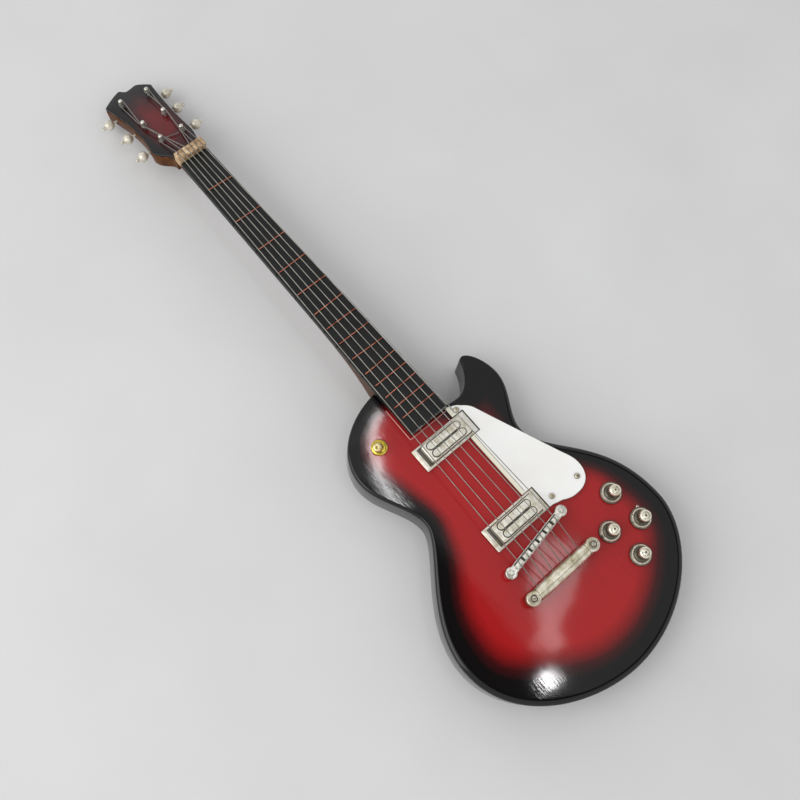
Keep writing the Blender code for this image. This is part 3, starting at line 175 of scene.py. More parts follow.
TREBLE_CURVES = (
    (((0, 0), (21.889, 0), (41.3, 16.575), (41.3, 32.5)), 28, 1.0, 1.0),
    (((41.3, 32.5), (41.3, 57.498), (21.9, 63.963), (21.9, 75.6)), 28, 1.0, 1.0),
    (((21.9, 75.6), (21.9, 81.366), (28.9, 86.76), (28.9, 94.2)), 18, 1.0, 0.6),
    (((28.9, 94.2), (28.9, 99.75), (25.8, 105.3), (23.4, 105.3)), 16, 0.6, 0.2),
    (((23.4, 105.3), (22.504, 105.3), (21.8, 104.7), (21.8, 103.8)), 7, 0.2, 0.2),
    (((21.8, 103.8), (20.7, 100.398), (17.576, 95.7), (13.0, 95.7)), 18, 0.2, 0.35),
    (((13.0, 95.7), (9.69, 95.7), (7.068, 96.38), (HEEL_HALF, 99.1)), 14, 0.35, 0.06),
)
BASS_CURVES = (
    (((-HEEL_HALF, 113.3), (-15.712, 112.8), (-28.6, 106.233), (-28.6, 94.2)), 28, 0.06, 0.6),
    (((-28.6, 94.2), (-28.6, 86.208), (-21.3, 78.882), (-21.3, 72.0)), 18, 0.6, 0.4),
    (((-21.3, 72.0), (-21.3, 64.1), (-40.9, 51.065), (-40.9, 32.5)), 28, 0.4, 1.0),
    (((-40.9, 32.5), (-40.9, 11.7), (-17.587, 0), (0, 0)), 28, 1.0, 1.0),
)
TOP_ROUND_WIDTH, TOP_ROUND_DROP, BACK_ROUND = 2.0, 1.3, 0.8
KNOBS, KNOB_BORE, KNOB_BORE_DEPTH = ((29.0, 42.2), (30.6, 30.6), (20.3, 33.9), (22.6, 22.8)), 0.85, 6.2
SWITCH, SWITCH_BORE, SWITCH_BORE_DEPTH = (-16.6, 99.0), 1.15, 1.7


def curve_points(control, steps):
    """Points of one cubic curve, without its last."""
    points = interpolate_bezier(*[Vector((*p, 0.0)) for p in control], steps + 1)
    return [(p.x, p.y) for p in points[:-1]]


def body_outline():
    """Outline from the tail round by the treble side, each point with its share of the rounding."""
    outline = []
    for curves in (TREBLE_CURVES, BASS_CURVES):
        for control, steps, first, last in curves:
            for i, (x, y) in enumerate(curve_points(control, steps)):
                outline.append((x, y, first + (last - first) * i / steps))
        if curves is TREBLE_CURVES:
            outline += [(HEEL_HALF, 99.1, 0.06), (HEEL_HALF, 112.5, 0.06), (-HEEL_HALF, 112.5, 0.06)]
    return np.array(outline)


def inset_ring(outline, inset, level):
    """The outline at a level, moved inwards by inset times each point's share."""
    places = outline[:, :2]
    ahead = np.roll(places, -1, 0) - places
    ahead /= np.linalg.norm(ahead, axis=1)[:, None]
    along = ahead + np.roll(ahead, 1, 0)
    along /= np.linalg.norm(along, axis=1)[:, None]
    inward = np.stack((-along[:, 1], along[:, 0]), 1)
    return [(x, y, level) for x, y in places + inward * (inset * outline[:, 2])[:, None]]


def lofted(rings):
    """Closed solid through rings of points in millimetres from the tail, and its last cap."""
    bm = bmesh.new()
    loops = []
    for ring in rings:
        verts = [bm.verts.new((x * MM, y * MM + TAIL, z * MM)) for x, y, z in ring]
        loops.append([bm.edges.new((verts[i - 1], verts[i])) for i in range(len(verts))])
    for lower, upper in zip(loops, loops[1:]):
        bmesh.ops.bridge_loops(bm, edges=lower + upper)
    caps = [bmesh.ops.contextual_create(bm, geom=loop)["faces"][0] for loop in (loops[0], loops[-1])]
    bmesh.ops.recalc_face_normals(bm, faces=bm.faces)
    return bm, caps[-1]


def bool_with(obj, bm, operation="DIFFERENCE"):
    """Cuts another solid out of a piece, or joins it on."""
    tool = new_object("tool", bm)
    modifier = obj.modifiers.new(operation, "BOOLEAN")
    modifier.operation, modifier.solver, modifier.object = operation, "EXACT", tool
    bpy.context.view_layer.update()
    graph = bpy.context.evaluated_depsgraph_get()
    mesh = bpy.data.meshes.new_from_object(obj.evaluated_get(graph))
    obj.modifiers.clear()
    obj.data = mesh
    bpy.data.objects.remove(tool)


def shade(obj, degrees):
    obj.data.shade_smooth()
    obj.data.set_sharp_from_angle(angle=math.radians(degrees))


def mount(obj, material, slot, body, *nodes):
    """Gives a piece its finish, lets it ride on its body, and puts it in its CAD nodes' place."""
    obj.data.materials.clear()
    obj.data.materials.append(material)
    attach(obj, body)
    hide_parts(*nodes)


def block(low, high):
    bm = bmesh.new()
    bmesh.ops.create_cube(bm, size=1.0)
    bmesh.ops.scale(bm, vec=[(h - l) * MM for l, h in zip(low, high)], verts=bm.verts)
    bmesh.ops.translate(bm, vec=[(h + l) / 2 * MM for l, h in zip(low, high)], verts=bm.verts)
    return bm


def rod(radius, low, high, x=0.0, y=0.0, sides=32):
    bm = bmesh.new()
    bmesh.ops.create_cone(bm, cap_ends=True, segments=sides, radius1=radius * MM, radius2=radius * MM,
                          depth=(high - low) * MM)
    bmesh.ops.translate(bm, vec=(x * MM, y * MM, (low + high) / 2 * MM), verts=bm.verts)
    return bm


def from_tail(y):
    return y + TAIL / MM


def on_top(x, y, height=0.0):
    """Moves a piece to a place on the body's top, from the tail and in millimetres."""
    return Matrix.Translation((x * MM, from_tail(y) * MM, BODY_TOP + height * MM))


def placed(bm, matrix):
    bmesh.ops.transform(bm, matrix=matrix, verts=bm.verts)
    return bm


def gathered(parts):
    """Several solids in one mesh."""
    bm = bmesh.new()
    for part in parts:
        mesh = bpy.data.meshes.new("part")
        part.to_mesh(mesh)
        part.free()
        bm.from_mesh(mesh)
        bpy.data.meshes.remove(mesh)
    return bm


outline = body_outline()
rings = [inset_ring(outline, BACK_ROUND, 0.0)]
for turn in (math.radians(90 * i / 4) for i in range(1, 5)):
    rings.append(inset_ring(outline, BACK_ROUND * (1 - math.sin(turn)), BACK_ROUND * (1 - math.cos(turn))))
for turn in (math.radians(90 * i / 12) for i in range(13)):
    rings.append(inset_ring(outline, TOP_ROUND_WIDTH * (1 - math.cos(turn)),
                            TOP_LEVEL - TOP_ROUND_DROP * (1 - math.sin(turn))))
bm, top_face = lofted(rings)

# The flat top is cut into squares of 2 mm, so that it can hold the fog's depth at their corners.
faces = [top_face]
for axis, low, high in ((0, -42, 42), (1, 0, 118)):
    for step in range(low, high, 2):
        place, direction = [0.0, 0.0, 0.0], [0.0, 0.0, 0.0]
        place[axis], direction[axis] = step * MM + (TAIL if axis else 0.0), 1.0
        geom = faces + list({e for f in faces for e in f.edges}) + list({v for f in faces for v in f.verts})
        cut = bmesh.ops.bisect_plane(bm, geom=geom, plane_co=place, plane_no=direction)
        faces = [g for g in cut["geom"] if isinstance(g, bmesh.types.BMFace)]
body = new_object("body_lacquered", bm)
neck_pocket = block((-5.4, from_tail(96.3), 5.9), (5.4, from_tail(113.5), 14.0))
holes = [(*knob, KNOB_BORE, KNOB_BORE_DEPTH) for knob in KNOBS] + [(*SWITCH, SWITCH_BORE, SWITCH_BORE_DEPTH)]
bores = [rod(radius, TOP_LEVEL - depth, TOP_LEVEL + 1, x, from_tail(y)) for x, y, radius, depth in holes]
bool_with(body, gathered([neck_pocket] + bores))

BEAD_RADIUS = 0.2
BEAD_CORNER = on_top(-7.55, 94.65)
for length, direction in ((12.0, rotation(-1, "Z") @ rotation(-90, "X")), (14.9, rotation(90, "Y"))):
    bool_with(body, placed(rod(BEAD_RADIUS, 0.0, length, sides=16), BEAD_CORNER @ direction), "UNION")

# The fog's depth: 0 at the outline, 1 where the red is clear, and higher on the bead, where pale pink is
# painted as a highlight.
FOG_WIDTHS = ((41, 32, 12.5), (30, 58, 9.0), (22, 75, 7.0), (23, 96, 22.0), (0, 0, 14.5), (-30, 8, 20.0),
              (-41, 32, 14.0), (-30, 57, 11.0), (-21.3, 72, 7.0), (-28.6, 92, 11.5), (-18, 108, 9.0),
              (30, 8, 15.0), (8, 100, 6.0))
FOG_BLEND, FOG_PULL, BEAD_HIGHLIGHT = 20, 1.5, 2.0
places = np.array([v.co for v in body.data.vertices])
flat = places[:, :2] / MM - (0.0, TAIL / MM)
starts = outline[:, :2]
runs = np.roll(starts, -1, 0) - starts
nearest = np.clip(((flat[:, None] - starts) * runs).sum(2) / (runs ** 2).sum(1), 0, 1)
depth_in = np.linalg.norm(flat[:, None] - starts - nearest[:, :, None] * runs, axis=2).min(1)
widths = np.array(FOG_WIDTHS)
pull = 1 / (((flat[:, None] - widths[:, :2]) ** 2).sum(2) + FOG_BLEND) ** FOG_PULL
cleared = np.clip(depth_in / ((pull * widths[:, 2]).sum(1) / pull.sum(1)), 0, 1.5)
cleared[places[:, 2] > BODY_TOP + 0.03 * MM] = BEAD_HIGHLIGHT
fog = body.data.attributes.new("fog", "FLOAT", "POINT")
fog.data.foreach_set("value", cleared.astype(np.float32))

# The flat top mirrors as one plane right up to its rounded edge.
shade(body, 40)
corners = [Vector(corner.vector) for corner in body.data.corner_normals]
for loop in body.data.loops:
    level = body.data.vertices[loop.vertex_index].co.z
    if abs(level - BODY_TOP) < 0.001 * MM and corners[loop.index].z > 0.95:
        corners[loop.index] = Vector((0, 0, 1))
body.data.normals_split_custom_set(corners)


def lengthwise(width, length):
    """A pattern's scale for streaks along the guitar, from their size in millimetres."""
    return 1 / (width * MM), 1 / (length * MM), 1 / (width * MM)


# Stained wood under a clear polished coat: a deep red with faint grain, and mirror highlights
# that break up. The real rubbing marks are finer, and are drawn coarse enough to show.
LACQUER = {"Roughness": 0.4, "IOR": 1.5, "Specular_IOR_Level": 0.05, "Coat_Weight": 0.75, "Coat_IOR": 1.48}
material, tree, shader, coords = new_material("burst_lacquer_on_wood", Coat_Roughness=0.05, **LACQUER)
droplets = add(tree, "TexNoise", {"Vector": coords, "Scale": 1 / (0.7 * MM), "Detail": 3.0})
depth = add(tree, "Attribute", attribute_name="fog").outputs["Fac"]
ragged = add(tree, "MapRange", {"Value": droplets, "To Min": -0.05, "To Max": 0.05})
fogged = add(tree, "Math", {0: depth, 1: ragged}, operation="ADD")
burst = add(tree, "ValToRGB", {"Fac": fogged},
            stops=((0.0, "070707"), (1.0, "AA1A1C"), (0.36, "0C0707"), (0.55, "3C080B"), (0.78, "8A1214")))
stretch = add(tree, "Mapping", {"Vector": coords, "Scale": lengthwise(0.5, 16)})
grain = add(tree, "TexNoise", {"Vector": stretch, "Scale": 1.0, "Detail": 5.0})
figure = add(tree, "ValToRGB", {"Fac": grain}, stops=((0.3, "D8D8D8"), (0.7, "FFFFFF")))
stained = add(tree, "MixRGB", {"Fac": 0.45, 1: burst, 2: figure}, blend_type="MULTIPLY")
# The bead is painted pale pink as a highlight.
bead_highlight_mask = add(tree, "MapRange", {"Value": depth, "From Min": 1.6, "From Max": 1.9})
with_bead_highlight = add(tree, "MixRGB", {"Fac": bead_highlight_mask, 1: stained, 2: linear("CC8C84")})
sweep = add(tree, "Mapping", {"Vector": coords, "Scale": lengthwise(9, 28)})
waves = add(tree, "TexNoise", {"Vector": sweep, "Scale": 1.0, "Detail": 1.0})
swell = add(tree, "Bump", {"Height": waves, "Distance": 0.02 * MM})
rubbing = add(tree, "Mapping", {"Vector": coords, "Scale": lengthwise(0.45, 3.5)})
marks = add(tree, "TexNoise", {"Vector": rubbing, "Scale": 1.0, "Detail": 4.0})
rubbed = add(tree, "Bump", {"Height": marks, "Distance": 0.004 * MM, "Normal": swell})
feed(shader, {"Base Color": with_bead_highlight, "Normal": rubbed, "Coat Normal": rubbed})
mount(body, material, "red_burst_lacquer", "guitar", "body")


# Neck
# One length of wood from the heel to the tip of the headstock: a tenon in the body's pocket, a
# shaft rounded by hand underneath, and a flat headstock tipped back. Stained amber and
# lacquered, it shows its grain and its pores along its length, with a dull shine.
SEAT = 0.2
HEAD_PITCH = 13
HEAD_THICK, FACE_THICK = 4.4, 0.8
NUT_Y, NUT_BACK = 213.9, 217.3
NECK_LEVEL = 14.1
TENON_START, HEEL_START, HEEL_RUN = 96.5, 112.7, 31.0
SHAFT_DEPTH, HEEL_DEPTH = 4.9, 8.4
BOARD_LOW, BOARD_HIGH = 14.3, 16.8
BOARD_END, BOARD_WIDE, BOARD_NARROW = 95.0, 7.2, 5.2
TO_HEAD = (Matrix.Translation((0, from_tail(NUT_BACK + SEAT) * MM, (NECK_LEVEL + SEAT + FACE_THICK) * MM))
           @ rotation(-HEAD_PITCH, "X"))
POSTS = ((-4.0, 9.5), (-4.8, 19.2), (-5.0, 33.1), (3.8, 8.4), (3.6, 19.2), (4.8, 31.6))
KEYS = ((-1, 11.6, 11.7), (-1, 11.0, 22.2), (-1, 12.2, 32.4), (1, 9.8, 11.2), (1, 9.7, 22.2), (1, 10.7, 30.9))
POST_BORE, KEY_BORE, KEY_DEPTH = 0.7, 0.6, 2.4


def board_half(y):
    """Half the fingerboard's width at a distance from the tail."""
    return BOARD_WIDE - (BOARD_WIDE - BOARD_NARROW) * (y - BOARD_END) / (NUT_Y - BOARD_END)


def shaft_ring(y, depth, squareness):
    """One cross-section of the shaft: flat above, a squared or a round arch below."""
    half = board_half(y) - 0.35
    ring = []
    for turn in (math.pi * i / 36 for i in range(37)):
        across = math.copysign(abs(math.cos(turn)) ** squareness, math.cos(turn))
        ring.append((half * across, y, NECK_LEVEL - depth * max(0.0, math.sin(turn)) ** squareness))
    return ring


def head_outline(inset):
    """The headstock's outline in its own plane: two lobes and a shallow dip at the tip."""
    outline = []
    dip = 38.6 - inset
    for side, flare, mid, end, tip, lobe in ((1, 6.8, 6.7, 8.3, 39.0, 3.9), (-1, 9.4, 7.6, 10.1, 40.6, 2.3)):
        root, flare, mid, end, tip = 5.4 - inset, flare - inset, mid - inset, end - inset, tip - inset
        corner = tip - 3.8
        edge = [(root, 0.0)]
        for control, steps in ((((root, 0.9), (root, 3.6), (flare, 4.5), (flare, 9.0)), 14),
                               (((flare, 9.0), (mid, 0.4 * corner), (mid, 0.68 * corner), (end, corner)), 14),
                               (((end, corner), (end - 0.1 * (end - lobe), corner + 0.84),
                                 (lobe + 0.25 * (end - lobe), tip - 0.38), (lobe, tip)), 14),
                               (((lobe, tip), (0.75 * lobe, tip + 0.08), (0.4 * lobe, dip), (0.0, dip)), 10)):
            edge += curve_points(control, steps)
        edge = [(side * x, y) for x, y in edge]
        outline += edge + [(0.0, dip)] if side > 0 else edge[::-1]
    return outline


def plate(points, low, high):
    """Flat outline in millimetres, given thickness between two levels."""
    bm = bmesh.new()
    ring = [bm.verts.new((x * MM, y * MM, low * MM)) for x, y in points]
    face = bmesh.ops.contextual_create(bm, geom=ring)["faces"]
    raised = bmesh.ops.extrude_face_region(bm, geom=face)["geom"]
    bmesh.ops.translate(bm, vec=(0, 0, (high - low) * MM),
                        verts=[g for g in raised if isinstance(g, bmesh.types.BMVert)])
    bmesh.ops.recalc_face_normals(bm, faces=bm.faces)
    return bm


def bevel(bm, edges, width, segments, **limits):
    bmesh.ops.bevel(bm, geom=edges, offset=width * MM, affect="EDGES", segments=segments, profile=0.5,
                    material=-1, **limits)


def round_edges(bm, width, segments):
    """Rounds every sharp edge."""
    edges = [e for e in bm.edges if e.is_manifold and e.calc_face_angle() > math.radians(50)]
    bevel(bm, edges, width, segments, clamp_overlap=True)


sections = [(HEEL_START + along * HEEL_RUN, SHAFT_DEPTH + deep * HEEL_DEPTH, squareness)
            for along, deep, squareness in ((0.0, 1.0, 0.3), (0.05, 0.98, 0.315), (0.1, 0.93, 0.33),
                                            (0.16, 0.8, 0.37), (0.23, 0.64, 0.42), (0.32, 0.48, 0.48),
                                            (0.42, 0.35, 0.55), (0.54, 0.21, 0.63), (0.68, 0.11, 0.7),
                                            (0.84, 0.04, 0.76), (1.0, 0.0, 0.8))]
sections += [(NUT_Y + ahead, SHAFT_DEPTH, squareness)
             for ahead, squareness in ((-12.0, 0.8), (-4.0, 0.7), (4.9, 0.5))]
neck = new_object("neck_amber", lofted([shaft_ring(*section) for section in sections])[0])
tenon = block((-5.2, from_tail(TENON_START), NECK_LEVEL - 8.0), (5.2, from_tail(114.7), NECK_LEVEL))
bool_with(neck, tenon, "UNION")
slope = block((-10.1, from_tail(NUT_BACK), NECK_LEVEL), (10.1, from_tail(NUT_BACK) + 6, NECK_LEVEL + 3))
bmesh.ops.rotate(slope, cent=(0, from_tail(NUT_BACK) * MM, NECK_LEVEL * MM),
                 matrix=rotation(-HEAD_PITCH, "X").to_3x3(), verts=slope.verts)
bool_with(neck, slope)
head = plate(head_outline(0.0), -FACE_THICK - SEAT - HEAD_THICK, -FACE_THICK - SEAT)
round_edges(head, 0.35, 3)
bool_with(neck, placed(head, TO_HEAD), "UNION")
bores = [placed(rod(POST_BORE, -4.4, 1.0, x, along, 20), TO_HEAD) for x, along in POSTS]
KEY_LINES, KEY_ROOTS = [], []
for number, (side, out, along) in enumerate(KEYS, start=1):
    KEY_LINES.append(TO_HEAD @ Matrix.Translation((0, along * MM, (-FACE_THICK - KEY_DEPTH) * MM))
                     @ rotation(90 * side, "Y"))
    KEY_ROOTS.append(min(abs(corner.x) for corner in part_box(f"tuner_key_{number}")) / MM)
    bores.append(placed(rod(KEY_BORE, KEY_ROOTS[-1] - 0.15, out, sides=20), KEY_LINES[-1]))
bool_with(neck, gathered(bores))
shade(neck, 35)

material, tree, shader, coords = new_material("amber_lacquered_wood", Roughness=0.42, IOR=1.5,
                                              Specular_IOR_Level=0.1, Coat_Weight=0.12,
                                              Coat_Roughness=0.12, Coat_IOR=1.5)
along = add(tree, "Mapping", {"Vector": coords, "Scale": lengthwise(0.7, 22)})
fibre = add(tree, "TexNoise", {"Vector": along, "Scale": 1.0, "Detail": 6.0, "Distortion": 0.3})
amber = add(tree, "ValToRGB", {"Fac": fibre}, stops=((0.28, "321A0B"), (0.74, "734319"), (0.5, "553012")))
pores = add(tree, "Mapping", {"Vector": coords, "Scale": lengthwise(0.25, 3)})
pore = add(tree, "TexNoise", {"Vector": pores, "Scale": 1.0, "Detail": 2.0})
dark = add(tree, "ValToRGB", {"Fac": pore}, stops=((0.32, "6A6A6A"), (0.45, "FFFFFF")))
wood = add(tree, "MixRGB", {"Fac": 0.7, 1: amber, 2: dark}, blend_type="MULTIPLY")
ridge = add(tree, "Bump", {"Height": fibre, "Distance": 0.02 * MM})
feed(shader, {"Base Color": wood, "Normal": ridge, "Coat Normal": ridge})
mount(neck, material, "amber_lacquer", "guitar", "neck")


# Headstock face
# A thin veneer glued to the front of the headstock, dark red in the middle and black towards
# its edges. Its grain shows under the same gloss as the body's, which is a little wavier here.
face = plate(head_outline(0.15), -FACE_THICK, 0.0)
round_edges(face, 0.2, 3)
head_face = new_object("headstock_face_lacquered", placed(face, TO_HEAD))
bores = [placed(rod(POST_BORE, -2.0, 2.0, x, along, 20), TO_HEAD) for x, along in POSTS]
bool_with(head_face, gathered(bores))
shade(head_face, 35)

RED_CENTRE, RED_REACH = 106.0, (8.6, 20.5)
material, tree, shader, coords = new_material("burst_lacquer_on_veneer", Coat_Roughness=0.08, **LACQUER)
centred = add(tree, "VectorMath", {0: coords, 1: (0.0, RED_CENTRE * MM, 0.0)}, operation="SUBTRACT")
scaled = add(tree, "VectorMath", {0: centred, 1: (1 / (RED_REACH[0] * MM), 1 / (RED_REACH[1] * MM), 0.0)},
             operation="MULTIPLY")
reach = add(tree, "VectorMath", {0: scaled}, operation="LENGTH")
cloud = add(tree, "TexNoise", {"Vector": coords, "Scale": 1 / (3 * MM), "Detail": 3.0})
drift = add(tree, "MapRange", {"Value": cloud, "To Min": -0.12, "To Max": 0.12})
edge = add(tree, "Math", {0: reach.outputs["Value"], 1: drift}, operation="ADD")
burst = add(tree, "ValToRGB", {"Fac": edge},
            stops=((0.25, "701216"), (1.0, "0A0808"), (0.6, "480C10"), (0.85, "180709")))
lines = add(tree, "Mapping", {"Vector": coords, "Scale": lengthwise(0.5, 12)})
grain = add(tree, "TexNoise", {"Vector": lines, "Scale": 1.0, "Detail": 5.0})
figure = add(tree, "ValToRGB", {"Fac": grain}, stops=((0.3, "B8B8B8"), (0.7, "FFFFFF")))
veneer = add(tree, "MixRGB", {"Fac": 0.8, 1: burst, 2: figure}, blend_type="MULTIPLY")
uneven = add(tree, "TexNoise", {"Vector": coords, "Scale": 1 / (2.5 * MM), "Detail": 2.0})
swell = add(tree, "Bump", {"Height": uneven, "Distance": 0.05 * MM})
feed(shader, {"Base Color": veneer, "Normal": swell, "Coat Normal": swell})
mount(head_face, material, "red_burst_lacquer", "guitar", "headstock_face")


# Fingerboard
# A tapered strip of wood stained black, left satin and a little dusty. A saw has nicked its
# bass edge at every fret, and the end over the body is rubbed to a paler line.
FRETS = (200.0, 185.4, 173.1, 162.7, 152.8, 144.4, 138.0, 131.7, 125.1, 119.1, 114.0, 109.3, 104.9, 100.8)
bm = plate([(side * half, from_tail(y)) for side, half, y in (
    (-1, BOARD_WIDE, BOARD_END), (1, BOARD_WIDE, BOARD_END),
    (1, BOARD_NARROW, NUT_Y - SEAT), (-1, BOARD_NARROW, NUT_Y - SEAT))], BOARD_LOW, BOARD_HIGH)
round_edges(bm, 0.22, 3)
board = new_object("fingerboard_black", bm)
NICK_HALF, NICK_INWARD, NICK_LOW = 0.22, 0.45, 15.6
bool_with(board, gathered([block((-8.0, from_tail(y) - NICK_HALF, NICK_LOW),
                                 (NICK_INWARD - board_half(y), from_tail(y) + NICK_HALF, 17.5))
                           for y in FRETS]))
shade(board, 30)

material, tree, shader, coords = new_material("black_stained_satin_wood", IOR=1.5, Specular_IOR_Level=0.35)
along = add(tree, "Mapping", {"Vector": coords, "Scale": lengthwise(0.4, 14)})
fibre = add(tree, "TexNoise", {"Vector": along, "Scale": 1.0, "Detail": 6.0})
black = add(tree, "ValToRGB", {"Fac": fibre}, stops=((0.3, "0C0D0C"), (0.7, "1C1E1C")))
patches = add(tree, "TexNoise", {"Vector": coords, "Scale": 1 / (7 * MM), "Detail": 3.0})
dust = add(tree, "ValToRGB", {"Fac": patches}, stops=((0.5, "000000"), (0.75, "3A3A3A")))
dusty = add(tree, "MixRGB", {"Fac": dust, 1: black, 2: linear("4A4C48")})
position = add(tree, "SeparateXYZ", {"Vector": coords})
END_LINE = from_tail(BOARD_END) * MM
at_end = add(tree, "MapRange", {"Value": position.outputs["Y"], "From Min": END_LINE + 0.45 * MM,
                                "From Max": END_LINE})
on_crest = add(tree, "MapRange", {"Value": position.outputs["Z"], "From Min": (BOARD_HIGH - 0.3) * MM,
                                  "From Max": (BOARD_HIGH - 0.15) * MM})
broken = add(tree, "TexNoise", {"Vector": coords, "Scale": 1 / (0.8 * MM), "Detail": 2.0})
worn = add(tree, "MapRange", {"Value": broken, "From Min": 0.42, "From Max": 0.6})
corner = add(tree, "Math", {0: at_end, 1: on_crest}, operation="MULTIPLY")
rubbed = add(tree, "Math", {0: corner, 1: worn}, operation="MULTIPLY")
paler = add(tree, "MixRGB", {"Fac": rubbed, 1: dusty, 2: linear("A3A5A0")})
satin = add(tree, "MapRange", {"Value": patches, "To Min": 0.38, "To Max": 0.6})
ridge = add(tree, "Bump", {"Height": fibre, "Distance": 0.03 * MM})
feed(shader, {"Base Color": paler, "Roughness": satin, "Normal": ridge})
mount(board, material, "black_stained_wood", "guitar", "fingerboard")


# Frets
# Fourteen thin copper-coloured strips laid across the board by hand, each a little crooked,
# from just inside the bass edge to the treble edge. The copper is dull, with brighter spots.
TURNS = (-3, -1, 0, 1, -1, 1, -1, 0, -2, 2, 0, 2, 1, 0)
FRET_HALF, FRET_LOW, FRET_HIGH = 0.14, 17.0, 17.25
material, tree, shader, coords = new_material("dull_copper_strip", Metallic=1.0)
spots = add(tree, "TexNoise", {"Vector": coords, "Scale": 1 / (1.2 * MM), "Detail": 3.0})
copper = add(tree, "ValToRGB", {"Fac": spots}, stops=((0.3, "8E4E3A"), (0.7, "EE9E80"), (0.5, "CE7C60")))
dull = add(tree, "MapRange", {"Value": spots, "To Min": 0.55, "To Max": 0.35})
feed(shader, {"Base Color": copper, "Roughness": dull})
for number, (y, degrees) in enumerate(zip(FRETS, TURNS), start=1):
    bm = block((1.1 - board_half(y), -FRET_HALF, FRET_LOW), (board_half(y) - 0.2, FRET_HALF, FRET_HIGH))
    round_edges(bm, 0.06, 2)
    place = Matrix.Translation((0, from_tail(y) * MM, 0)) @ rotation(degrees, "Z")
    strip = new_object(f"fret_strip_{number:02d}", placed(bm, place))
    shade(strip, 30)
    mount(strip, material, "copper_strip", "guitar", f"fret_{number:02d}")


# Nut
# A block of tan bone across the end of the board, with its edges eased and a saw slot for each
# string. Bone is faintly mottled and has a dull shine.
NUT_HALF, NUT_TOP, NUT_SPREAD = 5.5, 18.9, 8.2
SLOT_HALF, SLOT_LOW = 0.2, 18.5


def string_places(spread):
    """The six strings' places across the guitar, from the bass side."""
    return [spread * (index / 5 - 0.5) for index in range(6)]


bm = block((-NUT_HALF, from_tail(NUT_Y), BOARD_LOW), (NUT_HALF, from_tail(NUT_BACK), NUT_TOP))
round_edges(bm, 0.5, 4)
nut = new_object("nut_bone", bm)
bool_with(nut, gathered([block((x - SLOT_HALF, from_tail(NUT_Y) - 1, SLOT_LOW),
                               (x + SLOT_HALF, from_tail(NUT_BACK) + 1, 20))
                         for x in string_places(NUT_SPREAD)]))
shade(nut, 30)
material, tree, shader, coords = new_material("mottled_tan_bone", IOR=1.54, Subsurface_Weight=0.08,
                                              Subsurface_Scale=0.6 * MM)
blotch = add(tree, "TexNoise", {"Vector": coords, "Scale": 1 / (1.3 * MM), "Detail": 4.0, "Distortion": 0.6})
bone = add(tree, "ValToRGB", {"Fac": blotch}, stops=((0.3, "7C5F45"), (0.72, "DCC6A4"), (0.5, "B4946C")))
dull = add(tree, "MapRange", {"Value": blotch, "To Min": 0.6, "To Max": 0.35})
lumps = add(tree, "Bump", {"Height": blotch, "Distance": 0.08 * MM})
feed(shader, {"Base Color": bone, "Roughness": dull, "Normal": lumps})
mount(nut, material, "tan_bone", "guitar", "nut")


# Guard
# A sheet of glossy white plastic cut round the pickups, with its outer edge chamfered. A line
# is scribed beside the strings, and the strip on their side of it has yellowed to cream.
NECK_PICKUP, BRIDGE_PICKUP, PICKUP_X, RING_HALF = 87.4, 55.3, 0.4, 10.6
GUARD_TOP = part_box("pickguard")[1].z / MM
GUARD_BASS, CHAMFER = 7.1, 0.22
EDGE = PICKUP_X + RING_HALF + SEAT
guard = [(EDGE, 51.4), (EDGE + 1.545, 51.1)]
for control, steps in ((((EDGE + 4.53, 50.3), (18.4, 48.9), (19.43, 48.9), (21.5, 48.9)), 8),
                       (((21.5, 48.9), (25.1, 48.9), (27.9, 51.28), (27.9, 55.5)), 14),
                       (((27.9, 55.5), (27.9, 58.5), (26.7, 59.9), (25.3, 63.5)), 8)):
    guard += curve_points(control, steps)
guard += [(25.3, 63.5)]
guard += curve_points(((14.7, 89.6), (13.864, 91.58), (12.724, 92.42), (9.304, 94.7)), 10)
guard += [(8.012, 95.3), (GUARD_BASS, 95.0), (GUARD_BASS, 91.65), (EDGE, 91.65), (EDGE, 83.15),
          (GUARD_BASS, 83.15), (GUARD_BASS, 59.55), (EDGE, 59.55)]
guard = np.array([(x, y, float(x > EDGE or y > 95.2)) for x, y in guard])
bm = lofted([inset_ring(guard, 0.0, TOP_LEVEL + SEAT), inset_ring(guard, 0.0, GUARD_TOP - CHAMFER),
             inset_ring(guard, CHAMFER, GUARD_TOP)])[0]
pickguard = new_object("pickguard_white", bm)
LINE_BASS, LINE_TREBLE, LINE_DEPTH = 8.42, 8.62, 0.14
SCREWS = ((9.6, 92.7), (24.3, 52.9), (13.9, 53.4))
bool_with(pickguard, gathered([block((LINE_BASS, from_tail(start), GUARD_TOP - LINE_DEPTH),
                                     (LINE_TREBLE, from_tail(end), GUARD_TOP + 1))
                               for start, end in ((60.0, 82.8), (92.2, 94.6))]))
bool_with(pickguard, gathered([rod(0.6, GUARD_TOP - 2, GUARD_TOP + 1, x, from_tail(y), 20)
                               for x, y in SCREWS]))
shade(pickguard, 20)

